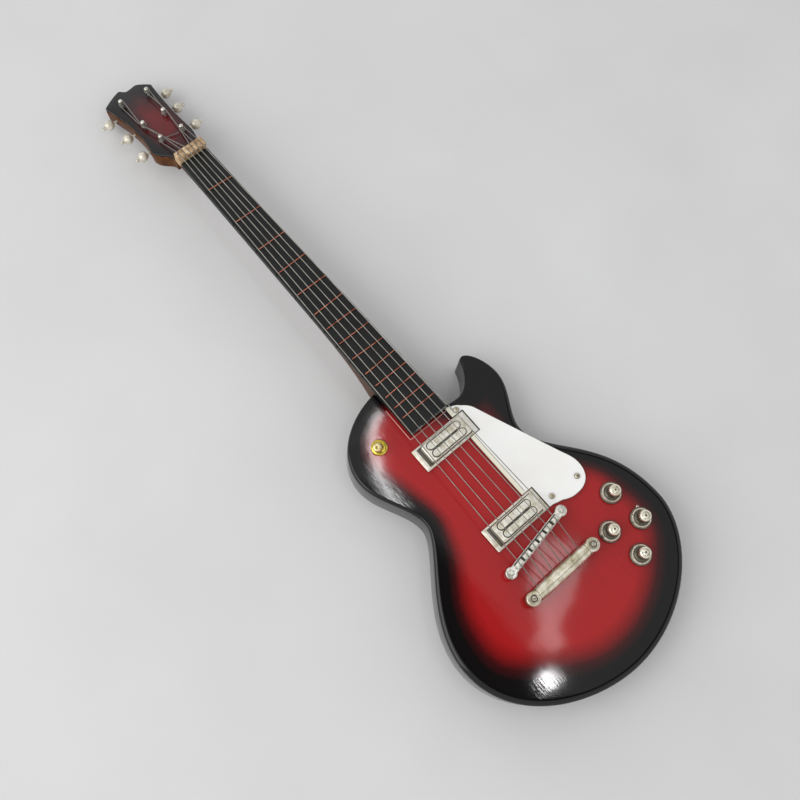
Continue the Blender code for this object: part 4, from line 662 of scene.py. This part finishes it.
material, tree, shader, coords = new_material("glossy_white_plastic", IOR=1.49)
age = add(tree, "TexNoise", {"Vector": coords, "Scale": 1 / (14 * MM), "Detail": 2.0})
white = add(tree, "ValToRGB", {"Fac": age}, stops=((0.3, "F2F1EC"), (0.7, "F8F8F5")))
position = add(tree, "SeparateXYZ", {"Vector": coords})
groove = add(tree, "MapRange", {"Value": position.outputs["Z"], "From Min": (GUARD_TOP - 0.13) * MM,
                                "From Max": (GUARD_TOP - 0.1) * MM})
strip = add(tree, "MapRange", {"Value": position.outputs["X"], "From Min": 8.4 * MM, "From Max": 8.6 * MM})
sheet = add(tree, "MixRGB", {"Fac": strip, 1: linear("EFEBD8"), 2: white})
lined = add(tree, "MixRGB", {"Fac": groove, 1: linear("6E6C60"), 2: sheet})
hair = add(tree, "TexNoise", {"Vector": coords, "Scale": 1 / (0.8 * MM), "Detail": 3.0})
sheen = add(tree, "MapRange", {"Value": hair, "To Min": 0.16, "To Max": 0.3})
flow = add(tree, "Bump", {"Height": age, "Distance": 0.03 * MM})
feed(shader, {"Base Color": lined, "Roughness": sheen, "Normal": flow})
mount(pickguard, material, "white_plastic", "guitar", "pickguard")


# Guard screws
# Turned brass with a nickel plating, and a cross cut in the head. The plating has a warm white
# shine and a brown film in patches, and brown painted shade round the rim of the heads.
def turned(profile, sides=48):
    """Solid turned about Z from (radius, height) points in millimetres."""
    bm = bmesh.new()
    verts = [bm.verts.new((r * MM, 0, z * MM)) for r, z in profile]
    edges = [bm.edges.new(pair) for pair in zip(verts, verts[1:])]
    bmesh.ops.spin(bm, geom=verts + edges, cent=(0, 0, 0), axis=(0, 0, 1), angle=2 * math.pi,
                   steps=sides, use_merge=True)
    bmesh.ops.remove_doubles(bm, verts=bm.verts, dist=1e-7)
    bmesh.ops.recalc_face_normals(bm, faces=bm.faces)
    return bm


SHADE_REACH = 6.0


def metal(name, low, middle, high, rough, film, grit, sunk=()):
    """Plated metal: mottled, with a brown film in patches and brown painted shade by height over the body, in
    hollows.
    """
    material, tree, shader, coords = new_material(name, Metallic=0.8)
    cloud = add(tree, "TexNoise", {"Vector": coords, "Scale": 1 / (grit * 2.5 * MM), "Detail": 4.0})
    tone = add(tree, "ValToRGB", {"Fac": cloud}, stops=((0.3, low), (0.72, high), (0.5, middle)))
    patch = add(tree, "TexNoise", {"Vector": coords, "Scale": 1 / (grit * MM), "Detail": 5.0})
    spread = add(tree, "MapRange", {"Value": patch, "From Min": 0.52, "From Max": 0.72, "To Max": film})
    # sunk lists stops of painted shade by height over the body; white is full shade, black none.
    if sunk:
        position = add(tree, "SeparateXYZ", {"Vector": coords})
        level = add(tree, "MapRange", {"Value": position.outputs["Z"], "From Min": BODY_TOP,
                                       "From Max": BODY_TOP + SHADE_REACH * MM})
        painted_shade = add(tree, "ValToRGB", {"Fac": level},
                     stops=[(height / SHADE_REACH, grey) for height, grey in sunk])
        # spread now takes the stronger of the film in patches and the painted shade.
        spread = add(tree, "Math", {0: spread, 1: painted_shade}, operation="MAXIMUM")
    patina_and_shade_colour = add(tree, "MixRGB", {"Fac": spread, 1: tone, 2: linear("2A2417")})
    shine = add(tree, "MapRange", {"Value": patch, "To Min": rough - 0.08, "To Max": rough + 0.14})
    lumps = add(tree, "Bump", {"Height": cloud, "Distance": 0.05 * grit * MM})
    feed(shader, {"Base Color": patina_and_shade_colour, "Roughness": shine, "Normal": lumps})
    return material


# Painted shade: the heads are dark below 1.6 mm over the body, round the rim and in the cross.
aged_nickel = metal("aged_nickel_plating", "8C8468", "C4BC9F", "EDE7D2", 0.3, 0.3, 0.5,
                    ((0.0, "FFFFFF"), (1.7, "000000"), (1.6, "F0F0F0")))
profile = [(0, 1.83), (0.3, 1.83), (0.62, 1.76), (0.85, 1.6), (0.9, 1.5), (0.9, 1.4), (0.4, 1.4),
           (0.4, -2.1), (0, -3.0)]
CUT_LONG, CUT_WIDE, CUT_LOW = 0.5, 0.09, 1.62
cross = [(x * c - y * s, x * s + y * c) for c, s in ((1, 0), (0, 1), (-1, 0), (0, -1))
         for x, y in ((CUT_LONG, -CUT_WIDE), (CUT_LONG, CUT_WIDE), (CUT_WIDE, CUT_WIDE))]
for number, (x, y) in enumerate(SCREWS, start=1):
    screw = new_object(f"pickguard_screw_head_{number}", turned(profile, 32))
    bool_with(screw, plate(cross, CUT_LOW, 2.5))
    screw.data.transform(on_top(x, y) @ Matrix.Rotation(0.5 * number, 4, "Z"))
    shade(screw, 30)
    mount(screw, aged_nickel, "bright_nickel", "guitar", f"pickguard_screw_{number}")


# Pickups
# Each is two castings plated a soft champagne nickel: a stepped ring with a sunk ledge, and a
# raised cover with two round-ended, grooved pads that stand in sunk beds. Brown painted shade
# lies in the beds and along the foot.
def slot_outline(half_length, radius, steps=12):
    """Outline with round ends along X."""
    points = []
    for end in (1, -1):
        for turn in (math.pi * (i / steps - 0.5) for i in range(steps + 1)):
            points.append((end * (half_length + radius * math.cos(turn)), end * radius * math.sin(turn)))
    return points


PAD_HALF, PAD_RADIUS, BED_RADIUS, PAD_OFFSET = 5.3, 1.08, 1.4, 1.42
GROOVES, GROOVE_HALF = (-3.2, 0.0, 3.2), 0.07
# Painted shade by height: dark along the foot below 0.62 mm and in the beds from 2.6 to 2.98 mm.
casting = metal("champagne_nickel_casting", "CFC8AE", "F5F1E2", "FFFEF8", 0.34, 0.2, 0.9,
                ((0.0, "FFFFFF"), (2.98, "000000"), (0.62, "E8E8E8"), (0.78, "000000"), (2.6, "000000"),
                 (2.7, "FFFFFF"), (2.9, "FFFFFF")))
for name, y in (("neck_pickup", NECK_PICKUP), ("bridge_pickup", BRIDGE_PICKUP)):
    foot = block((-RING_HALF, -4.05, SEAT), (RING_HALF, 4.05, 0.85))
    round_edges(foot, 0.22, 3)
    ring = new_object(f"{name}_ring", foot)
    step = block((-10.2, -3.7, 0.5), (10.2, 3.7, 1.5))
    round_edges(step, 0.2, 3)
    bool_with(ring, step, "UNION")
    bool_with(ring, block((-9.2, -3.4, 0.5), (8.5, 3.4, 3.0)))
    bool_with(ring, block((-8.1, -3.3, 0.35), (8.3, 3.3, 3.0)))
    ring.data.transform(on_top(PICKUP_X, y))
    shade(ring, 35)
    mount(ring, casting, "champagne_nickel", "guitar", f"{name}_base")

    shell = block((-7.9, -3.1, 0.45), (8.1, 3.1, 3.3))
    bevel(shell, [e for e in shell.edges if abs(e.verts[0].co.z - e.verts[1].co.z) > MM], 0.7, 5)
    bevel(shell, [e for e in shell.edges if all(v.co.z > 3.2 * MM for v in e.verts)], 0.3, 4)
    cover = new_object(f"{name}_shell", shell)
    for side in (-1, 1):
        at = Matrix.Translation((0, side * PAD_OFFSET * MM, 0))
        bool_with(cover, placed(plate(slot_outline(PAD_HALF, BED_RADIUS), 2.75, 5.0), at))
        pad = plate(slot_outline(PAD_HALF, PAD_RADIUS), 2.6, 3.68)
        round_edges(pad, 0.16, 3)
        bool_with(cover, placed(pad, at), "UNION")
        for x in GROOVES:
            bool_with(cover, placed(block((x - GROOVE_HALF, -1.3, 3.0), (x + GROOVE_HALF, 1.3, 5.0)), at))
    cover.data.transform(on_top(PICKUP_X, y))
    shade(cover, 35)
    mount(cover, casting, "champagne_nickel", "guitar", f"{name}_cover")


# Bridge
# A slim bar cast with an eye at each end and six notched saddles along it, set askew on two
# turned posts. The bar and posts are bright nickel, with painted shade between the saddles.
BRIDGE_SLANT = math.radians(9.1)
BRIDGE_Y, EYE_REACH, SADDLE_SPREAD, SADDLE_HALF = 46.4, 12.3, 17.4, 1.35
TO_BRIDGE = on_top(0.0, BRIDGE_Y) @ Matrix.Rotation(BRIDGE_SLANT, 4, "Z")
bar = block((-EYE_REACH, -1.25, 2.3), (EYE_REACH, 1.25, 4.0))
round_edges(bar, 0.25, 3)
bridge = new_object("bridge_bar", bar)
for side in (-1, 1):
    eye_disc = rod(1.8, 2.3, 4.0, side * EYE_REACH, 0.0, 40)
    round_edges(eye_disc, 0.25, 3)
    bool_with(bridge, eye_disc, "UNION")
bool_with(bridge, block((-10.1, -0.9, 3.0), (10.1, 1.02, 6.0)))
for x in string_places(SADDLE_SPREAD / math.cos(BRIDGE_SLANT)):
    saddle = block((x - SADDLE_HALF, -0.95, 2.8), (x + SADDLE_HALF, 0.68, 5.1))
    bevel(saddle, [e for e in saddle.edges if all(v.co.z > 5.0 * MM for v in e.verts)
                   and abs(e.verts[0].co.x - e.verts[1].co.x) > MM], 0.3, 3)
    bool_with(bridge, saddle, "UNION")
    notch = Matrix.Translation((x * MM, 0, 5.12 * MM)) @ rotation(90, "X")
    bool_with(bridge, placed(rod(0.2, -2.0, 2.0, sides=16), notch))
bool_with(bridge, gathered([rod(0.88, 1.0, 5.0, side * EYE_REACH) for side in (-1, 1)]))
bridge.data.transform(TO_BRIDGE)
shade(bridge, 35)
# Painted shade: dark low on the bar and in the channel between the saddles, below 3.4 mm.
channel_nickel = metal("bright_nickel_channel", "C4C0B2", "E4E1D6", "F4F2EA", 0.26, 0.45, 0.7,
                       ((0.0, "B0B0B0"), (4.0, "000000"), (3.4, "F0F0F0"), (3.7, "606060")))
mount(bridge, channel_nickel, "bright_nickel", "guitar", "bridge")
bright_nickel = metal("bright_nickel_plating", "C4C0B2", "E4E1D6", "F4F2EA", 0.26, 0.45, 0.7)
profile = [(0, 4.3), (0.5, 4.3), (0.68, 4.25), (0.8, 4.1), (0.8, 2.1), (1.35, 2.1), (1.5, 1.95),
           (1.5, 0.35), (1.35, 0.2), (0.8, 0.2), (0.8, -5.0), (0, -5.0)]
for number, side in enumerate((-1, 1), start=1):
    post = new_object(f"bridge_post_turned_{number}", turned(profile, 40))
    bool_with(post, block((-1.0, -0.13, 4.08), (1.0, 0.13, 5.0)))
    spot = TO_BRIDGE @ Vector((side * EYE_REACH * MM, 0, 0))
    post.data.transform(Matrix.Translation(spot) @ Matrix.Rotation(0.9 * side, 4, "Z"))
    shade(post, 30)
    mount(post, bright_nickel, "bright_nickel", "guitar", f"bridge_post_{number}")


# Tailpiece
# A barrel-shaped bar of champagne nickel with a lug at each end and a turned seam beside it,
# held down by two grooved, round-headed studs. Six small holes in its front take the strings.
# Painted shade darkens the barrel's lower sides and the studs' rims and grooves.
TAIL_Y, TAIL_SPREAD, BAR_END, BAR_RADIUS, BAR_TAPER = 34.8, 17.2, 11.2, 2.3, 0.3
TAIL_AXIS = on_top(0.0, TAIL_Y, 2.7)
ALONG_X, ALONG_Y = rotation(90, "Y"), rotation(90, "X")
profile = [(0, BAR_END), (1.5, BAR_END)]
for share in (1 - i / 16 for i in range(33)):
    profile.append((BAR_RADIUS - BAR_TAPER * share ** 2, 11.05 * share))
profile += [(1.5, -BAR_END), (0, -BAR_END)]
tailpiece = new_object("tailpiece_barrel", placed(turned(profile, 40), TAIL_AXIS @ ALONG_X))
SEAM = [(1.6, 0.12), (3.0, 0.12), (3.0, -0.12), (1.6, -0.12), (1.6, 0.12)]
for side in (-1, 1):
    lug = rod(2.2, TOP_LEVEL + 0.9, TOP_LEVEL + 4.5, side * EYE_REACH, from_tail(TAIL_Y), 48)
    round_edges(lug, 0.3, 3)
    bool_with(tailpiece, lug, "UNION")
    at = Matrix.Translation((side * 10.2 * MM, 0, 0))
    bool_with(tailpiece, placed(turned(SEAM, 40), TAIL_AXIS @ at @ ALONG_X))
for side in (-1, 1):
    bool_with(tailpiece, rod(1.0, TOP_LEVEL - 1, TOP_LEVEL + 5, side * EYE_REACH, from_tail(TAIL_Y)))
for x in string_places(TAIL_SPREAD):
    at = Matrix.Translation((x * MM, 0, 0))
    bool_with(tailpiece, placed(rod(0.35, -7.0, 0.0, sides=20), TAIL_AXIS @ at @ ALONG_Y))
shade(tailpiece, 35)
# Painted shade: the barrel darkens below 3.5 mm over the body, along its lower sides and round the lugs.
bar_nickel = metal("champagne_nickel_bar", "B5AC8D", "E0D9C0", "FAF6E9", 0.28, 0.3, 1.1,
                   ((0.0, "F0F0F0"), (4.35, "000000"), (2.6, "C8C8C8"), (3.5, "686868")))
mount(tailpiece, bar_nickel, "champagne_nickel", "guitar", "tailpiece")
# Painted shade darkens the studs' heads below 4.9 mm, on their rims and in their grooves.
stud_nickel = metal("bright_nickel_groove", "A59C84", "D2CBB6", "F0ECDF", 0.28, 0.4, 0.7,
                    ((0.0, "FFFFFF"), (5.05, "000000"), (4.9, "E8E8E8")))
profile = [(0, 5.2), (0.5, 5.2), (0.75, 5.12), (0.84, 4.85), (1.02, 4.78), (1.1, 5.05), (1.2, 5.1),
           (1.3, 4.95), (1.3, 4.7), (0.8, 4.7), (0.8, 0.7), (1.3, 0.7), (1.3, 0.2), (0.8, 0.2),
           (0.8, -5.0), (0, -5.0)]
for number, side in enumerate((-1, 1), start=1):
    stud = new_object(f"tailpiece_stud_turned_{number}", turned(profile, 40))
    bool_with(stud, block((-1.6, -0.2, 4.95), (1.6, 0.2, 6.0)))
    stud.data.transform(on_top(side * EYE_REACH, TAIL_Y) @ Matrix.Rotation(0.6 * side, 4, "Z"))
    shade(stud, 30)
    mount(stud, stud_nickel, "bright_nickel", "guitar", f"tailpiece_stud_{number}")


# String posts
# Six plain pins of bright nickel pressed into the headstock, each with a small domed head. They
# don't turn, and the bead keys beside them aren't geared to them.
profile = [(0, 3.0), (0.3, 2.99), (0.55, 2.9), (0.7, 2.7), (0.7, 2.5), (0.6, 2.38), (0.5, 2.35),
           (0.5, -4.2), (0, -4.2)]
for number, (x, along) in enumerate(POSTS, start=1):
    at = Matrix.Translation((x * MM, along * MM, 0))
    post = new_object(f"string_pin_{number}", placed(turned(profile, 32), TO_HEAD @ at))
    shade(post, 35)
    mount(post, bright_nickel, "bright_nickel", "guitar", f"string_post_{number}")


# Keys
# Each key is a metal bead with a turned nub outside, and a pin that turns in the side of the
# headstock. Its pearl-silver lacquer has a soft sheen that shifts as the bead curves.
PEARL_RADIUS, PIN_RADIUS = 1.75, 0.4
material, tree, shader, coords = new_material("pearl_silver_lacquer", Roughness=0.3, Metallic=0.35, IOR=1.5,
                                              Coat_Weight=0.6, Coat_Roughness=0.1)
swirl = add(tree, "TexNoise", {"Vector": coords, "Scale": 1 / (1.5 * MM), "Detail": 3.0, "Distortion": 1.2})
pearl = add(tree, "ValToRGB", {"Fac": swirl}, stops=((0.3, "A89E88"), (0.7, "EDE8DA"), (0.5, "D2CBB8")))
dents = add(tree, "Bump", {"Height": swirl, "Distance": 0.08 * MM})
feed(shader, {"Base Color": pearl, "Normal": dents})
for number, (side, out, along) in enumerate(KEYS, start=1):
    profile = [(0, 2.9), (0.3, 2.89), (0.48, 2.8), (0.55, 2.65), (0.55, 2.02), (0.48, 1.9),
               (PIN_RADIUS, 1.85)]
    for turn in (math.acos(PIN_RADIUS / PEARL_RADIUS) * (1 - i / 12) for i in range(25)):
        profile.append((PEARL_RADIUS * math.cos(turn), PEARL_RADIUS * math.sin(turn)))
    inner = out - KEY_ROOTS[number - 1]
    profile += [(PIN_RADIUS, -inner), (0, -inner)]
    at = Matrix.Translation((0, 0, out * MM))
    key = new_object(f"bead_key_{number}", placed(turned(profile, 40), KEY_LINES[number - 1] @ at))
    shade(key, 35)
    mount(key, material, "pearl_bead", f"tuner_key_{number}", f"tuner_key_{number}")


# Selector switch
# A dished brass washer on the body and a short turned lever that tips in it, with a ball below
# and a hollow in the end of its cap. The washer is polished yellow, the lever is worn paler.
def brass(name, low, high, rough):
    material, tree, shader, coords = new_material(name, Metallic=1.0)
    cloud = add(tree, "TexNoise", {"Vector": coords, "Scale": 1 / (0.9 * MM), "Detail": 4.0})
    tone = add(tree, "ValToRGB", {"Fac": cloud}, stops=((0.3, low), (0.7, high)))
    shine = add(tree, "MapRange", {"Value": cloud, "To Min": rough, "To Max": rough + 0.15})
    dents = add(tree, "Bump", {"Height": cloud, "Distance": 0.03 * MM})
    feed(shader, {"Base Color": tone, "Roughness": shine, "Normal": dents})
    return material


profile = [(1.15, 0.62), (1.25, 0.72), (1.45, 0.78), (1.8, 0.74), (2.2, 0.62), (2.45, 0.48), (2.58, 0.34),
           (2.6, 0.2), (1.15, 0.2), (1.15, 0.62)]
washer = new_object("switch_washer_dished", placed(turned(profile, 56), on_top(*SWITCH)))
shade(washer, 35)
yellow_brass = brass("polished_yellow_brass", "C9AE3C", "F0DC6A", 0.14)
mount(washer, yellow_brass, "yellow_brass", "guitar", "switch_washer")
BALL_DROP, LEAN = 0.2, 18
profile = [(0, 2.7), (0.26, 2.72), (0.36, 3.4), (0.5, 3.58), (0.75, 3.62), (1.1, 3.55), (1.35, 3.4),
           (1.5, 3.15), (1.5, 2.45), (1.38, 2.3), (1.2, 2.2), (0.6, 2.15), (0.5, 2.0), (0.5, 0.74),
           (0.8, 0.42), (0.9, 0.0), (0.8, -0.4), (0.5, -0.75), (0, -0.9)]
leaning = on_top(*SWITCH, -BALL_DROP) @ rotation(-LEAN, "Y")
lever = new_object("switch_lever_turned", placed(turned(profile, 44), leaning))
shade(lever, 35)
pale_brass = brass("worn_pale_brass", "B49E5E", "E8DDB0", 0.22)
mount(lever, pale_brass, "yellow_brass", "switch_lever", "switch_lever")


# Knobs
# Each knob is turned from one piece: a thin skirt, a raised ring, a waisted neck and a domed cap
# with a small dimple. One has a pointed nub on its skirt. The nickel is antiqued, and with painted
# shade it is dark on the skirt, in the neck and in the dimple, and bright on the ring and the cap.
material, tree, shader, coords = new_material("antiqued_nickel_turning", Metallic=0.85)
cloud = add(tree, "TexNoise", {"Vector": coords, "Scale": 1 / (0.8 * MM), "Detail": 4.0})
plating = add(tree, "ValToRGB", {"Fac": cloud}, stops=((0.3, "C2BBA2"), (0.7, "FAF6E8"), (0.5, "E8E2CE")))
antique_and_shade = add(tree, "Attribute", attribute_name="antiquing_and_shade").outputs["Fac"]
brown = add(tree, "MixRGB", {"Fac": antique_and_shade, 1: plating, 2: linear("332C1F")})
dulled = add(tree, "MapRange", {"Value": antique_and_shade, "To Min": 0.26, "To Max": 0.5})
dents = add(tree, "Bump", {"Height": cloud, "Distance": 0.03 * MM})
feed(shader, {"Base Color": brown, "Roughness": dulled, "Normal": dents})
profile = [(0, 5.42), (0.16, 5.44), (0.26, 5.58), (0.34, 5.68), (1.05, 5.7), (1.45, 5.6), (1.72, 5.38),
           (1.88, 5.1), (1.9, 4.6), (1.84, 4.4), (1.66, 4.1), (1.55, 3.6), (1.55, 2.3), (1.62, 1.85),
           (1.85, 1.5), (2.15, 1.25), (2.32, 1.2), (2.4, 1.32), (2.52, 1.52), (2.72, 1.6), (2.92, 1.54),
           (3.08, 1.32), (3.18, 1.12), (3.4, 0.98), (3.5, 0.8), (3.5, 0.3), (3.4, 0.2), (0.6, 0.2),
           (0.6, -6.0), (0, -6.0)]
DIMPLE, NECK_FOOT, NECK_TOP, SKIRT_INNER, SKIRT_OUTER = 0.3, 2.38, 4.3, 3.1, 3.6
INDEX_KNOB, INDEX_TURN = 2, 62


def antiquing_and_shade(radius, height):
    """How dark the antiquing and painted shade leave the plating at a place on a knob."""
    if radius < DIMPLE or radius < NECK_FOOT and height < NECK_TOP:
        return 0.85
    return 0.8 if SKIRT_INNER <= radius <= SKIRT_OUTER else 0.0


for number, (x, y) in enumerate(KNOBS, start=1):
    knob = new_object(f"knob_turned_{number}", turned(profile, 56))
    if number == INDEX_KNOB:
        nub = plate([(3.2, -0.65), (3.7, -0.5), (4.25, 0.0), (3.7, 0.5), (3.2, 0.65)], 0.3, 0.7)
        round_edges(nub, 0.08, 2)
        bool_with(knob, placed(nub, rotation(INDEX_TURN, "Z")), "UNION")
    stain = knob.data.attributes.new("antiquing_and_shade", "FLOAT", "POINT")
    stain.data.foreach_set("value", [antiquing_and_shade(math.hypot(v.co.x, v.co.y) / MM, v.co.z / MM)
                                     for v in knob.data.vertices])
    knob.data.transform(on_top(x, y))
    shade(knob, 35)
    mount(knob, material, "antique_nickel", f"knob_{number}", f"knob_{number}")


# Strings
# Plain drawn steel wire, all of one gauge. Each runs from its hole in the tailpiece over the
# saddle and the nut, past the nearer posts, and is wound a turn or more round its own post.
# Drawing leaves lengthwise streaks, drawn coarser here, so the wire glints grey and uneven.
STRING_RADIUS, WIND_REACH, WIND_PITCH = 0.15, 0.85, 0.75
WIND_LEVELS, WIND_TURNS = (1.3, 1.65, 2.1), (1.25, 1.5, 1.5)
LOOSE_END = 1.6
TAIL_HOLE, TAIL_LEVEL, SADDLE_LEVEL, NUT_LEVELS = 35.4, 15.2, 17.95, (18.75, 18.65)
material, tree, shader, coords = new_material("drawn_steel_wire", Metallic=1.0)
drawn = add(tree, "Mapping", {"Vector": coords, "Scale": lengthwise(0.12, 6)})
streak = add(tree, "TexNoise", {"Vector": drawn, "Scale": 1.0, "Detail": 3.0})
tone = add(tree, "ValToRGB", {"Fac": streak}, stops=((0.3, "6A6962"), (0.7, "ABA9A1")))
shine = add(tree, "MapRange", {"Value": streak, "To Min": 0.25, "To Max": 0.42})
feed(shader, {"Base Color": tone, "Roughness": shine})


def winding(post, hand, level, turns):
    """Points down a post, in millimetres in the headstock face's own plane."""
    points = []
    for i in range(round(36 * turns) + 1):
        turn = math.radians(10 * i)
        points.append(Vector((post[0] + hand * WIND_REACH * math.cos(turn),
                              post[1] + WIND_REACH * math.sin(turn), level - WIND_PITCH * i / 36)))
    return points


def head_route(index):
    """Points on the headstock: past the nearer posts, then wound round the string's own post."""
    side = -1 if index < 3 else 1
    own = index if side < 0 else 5 - index
    posts = POSTS[:3] if side < 0 else POSTS[3:]
    level, turns = WIND_LEVELS[own], WIND_TURNS[own]
    if own == 0:
        points = [Vector((posts[0][0] + side * WIND_REACH, posts[0][1] - LOOSE_END, level))]
        points += winding(posts[0], side, level, turns)
        if side < 0:
            points.append(points[-1] + Vector((POSTS[3][0] - posts[0][0] - LOOSE_END, -2.0, 0.25)))
        return points
    points = [Vector((posts[0][0] - side * WIND_REACH, posts[0][1], level))]
    if own == 1:
        return points + winding(posts[1], side, level, turns)
    points.append(Vector((posts[1][0] + side * WIND_REACH, posts[1][1], level)))
    points += winding(posts[2], -side, level, turns)
    points.append(Vector((posts[1][0] + side * WIND_REACH, posts[1][1] + LOOSE_END, points[-1].z)))
    return points


def string_route(index):
    """Points from the tailpiece over the saddle and nut to the end on the headstock."""
    askew = SADDLE_SPREAD / 2 * math.tan(BRIDGE_SLANT) * (2 * index / 5 - 1)
    saddle = Vector((string_places(SADDLE_SPREAD)[index], BRIDGE_Y + askew, SADDLE_LEVEL))
    tail = Vector((string_places(TAIL_SPREAD)[index], TAIL_HOLE, TAIL_LEVEL))
    x_nut = string_places(NUT_SPREAD)[index]
    points = [tail, tail + Vector((0, 2.7, 0)), saddle - Vector((0, 0.945, 0.1)), saddle,
              Vector((x_nut, NUT_Y + 0.4, NUT_LEVELS[0])), Vector((x_nut, NUT_BACK - 0.4, NUT_LEVELS[1]))]
    return ([Vector((p.x, from_tail(p.y), p.z)) * MM for p in points]
            + [TO_HEAD @ (place * MM) for place in head_route(index)])


for index in range(6):
    curve = bpy.data.curves.new("wire", "CURVE")
    curve.dimensions, curve.bevel_depth, curve.bevel_resolution = "3D", STRING_RADIUS * MM, 3
    curve.use_fill_caps = True
    spline = curve.splines.new("POLY")
    route = string_route(index)
    spline.points.add(len(route) - 1)
    for point, place in zip(spline.points, route):
        point.co = (*place, 1.0)
    wire = bpy.data.objects.new("wire", curve)
    mesh = bpy.data.meshes.new_from_object(wire)
    bpy.data.objects.remove(wire)
    string = bpy.data.objects.new(f"string_wire_{index + 1}", mesh)
    bpy.context.scene.collection.objects.link(string)
    shade(string, 50)
    mount(string, material, "string_steel", "guitar", f"string_{index + 1}")
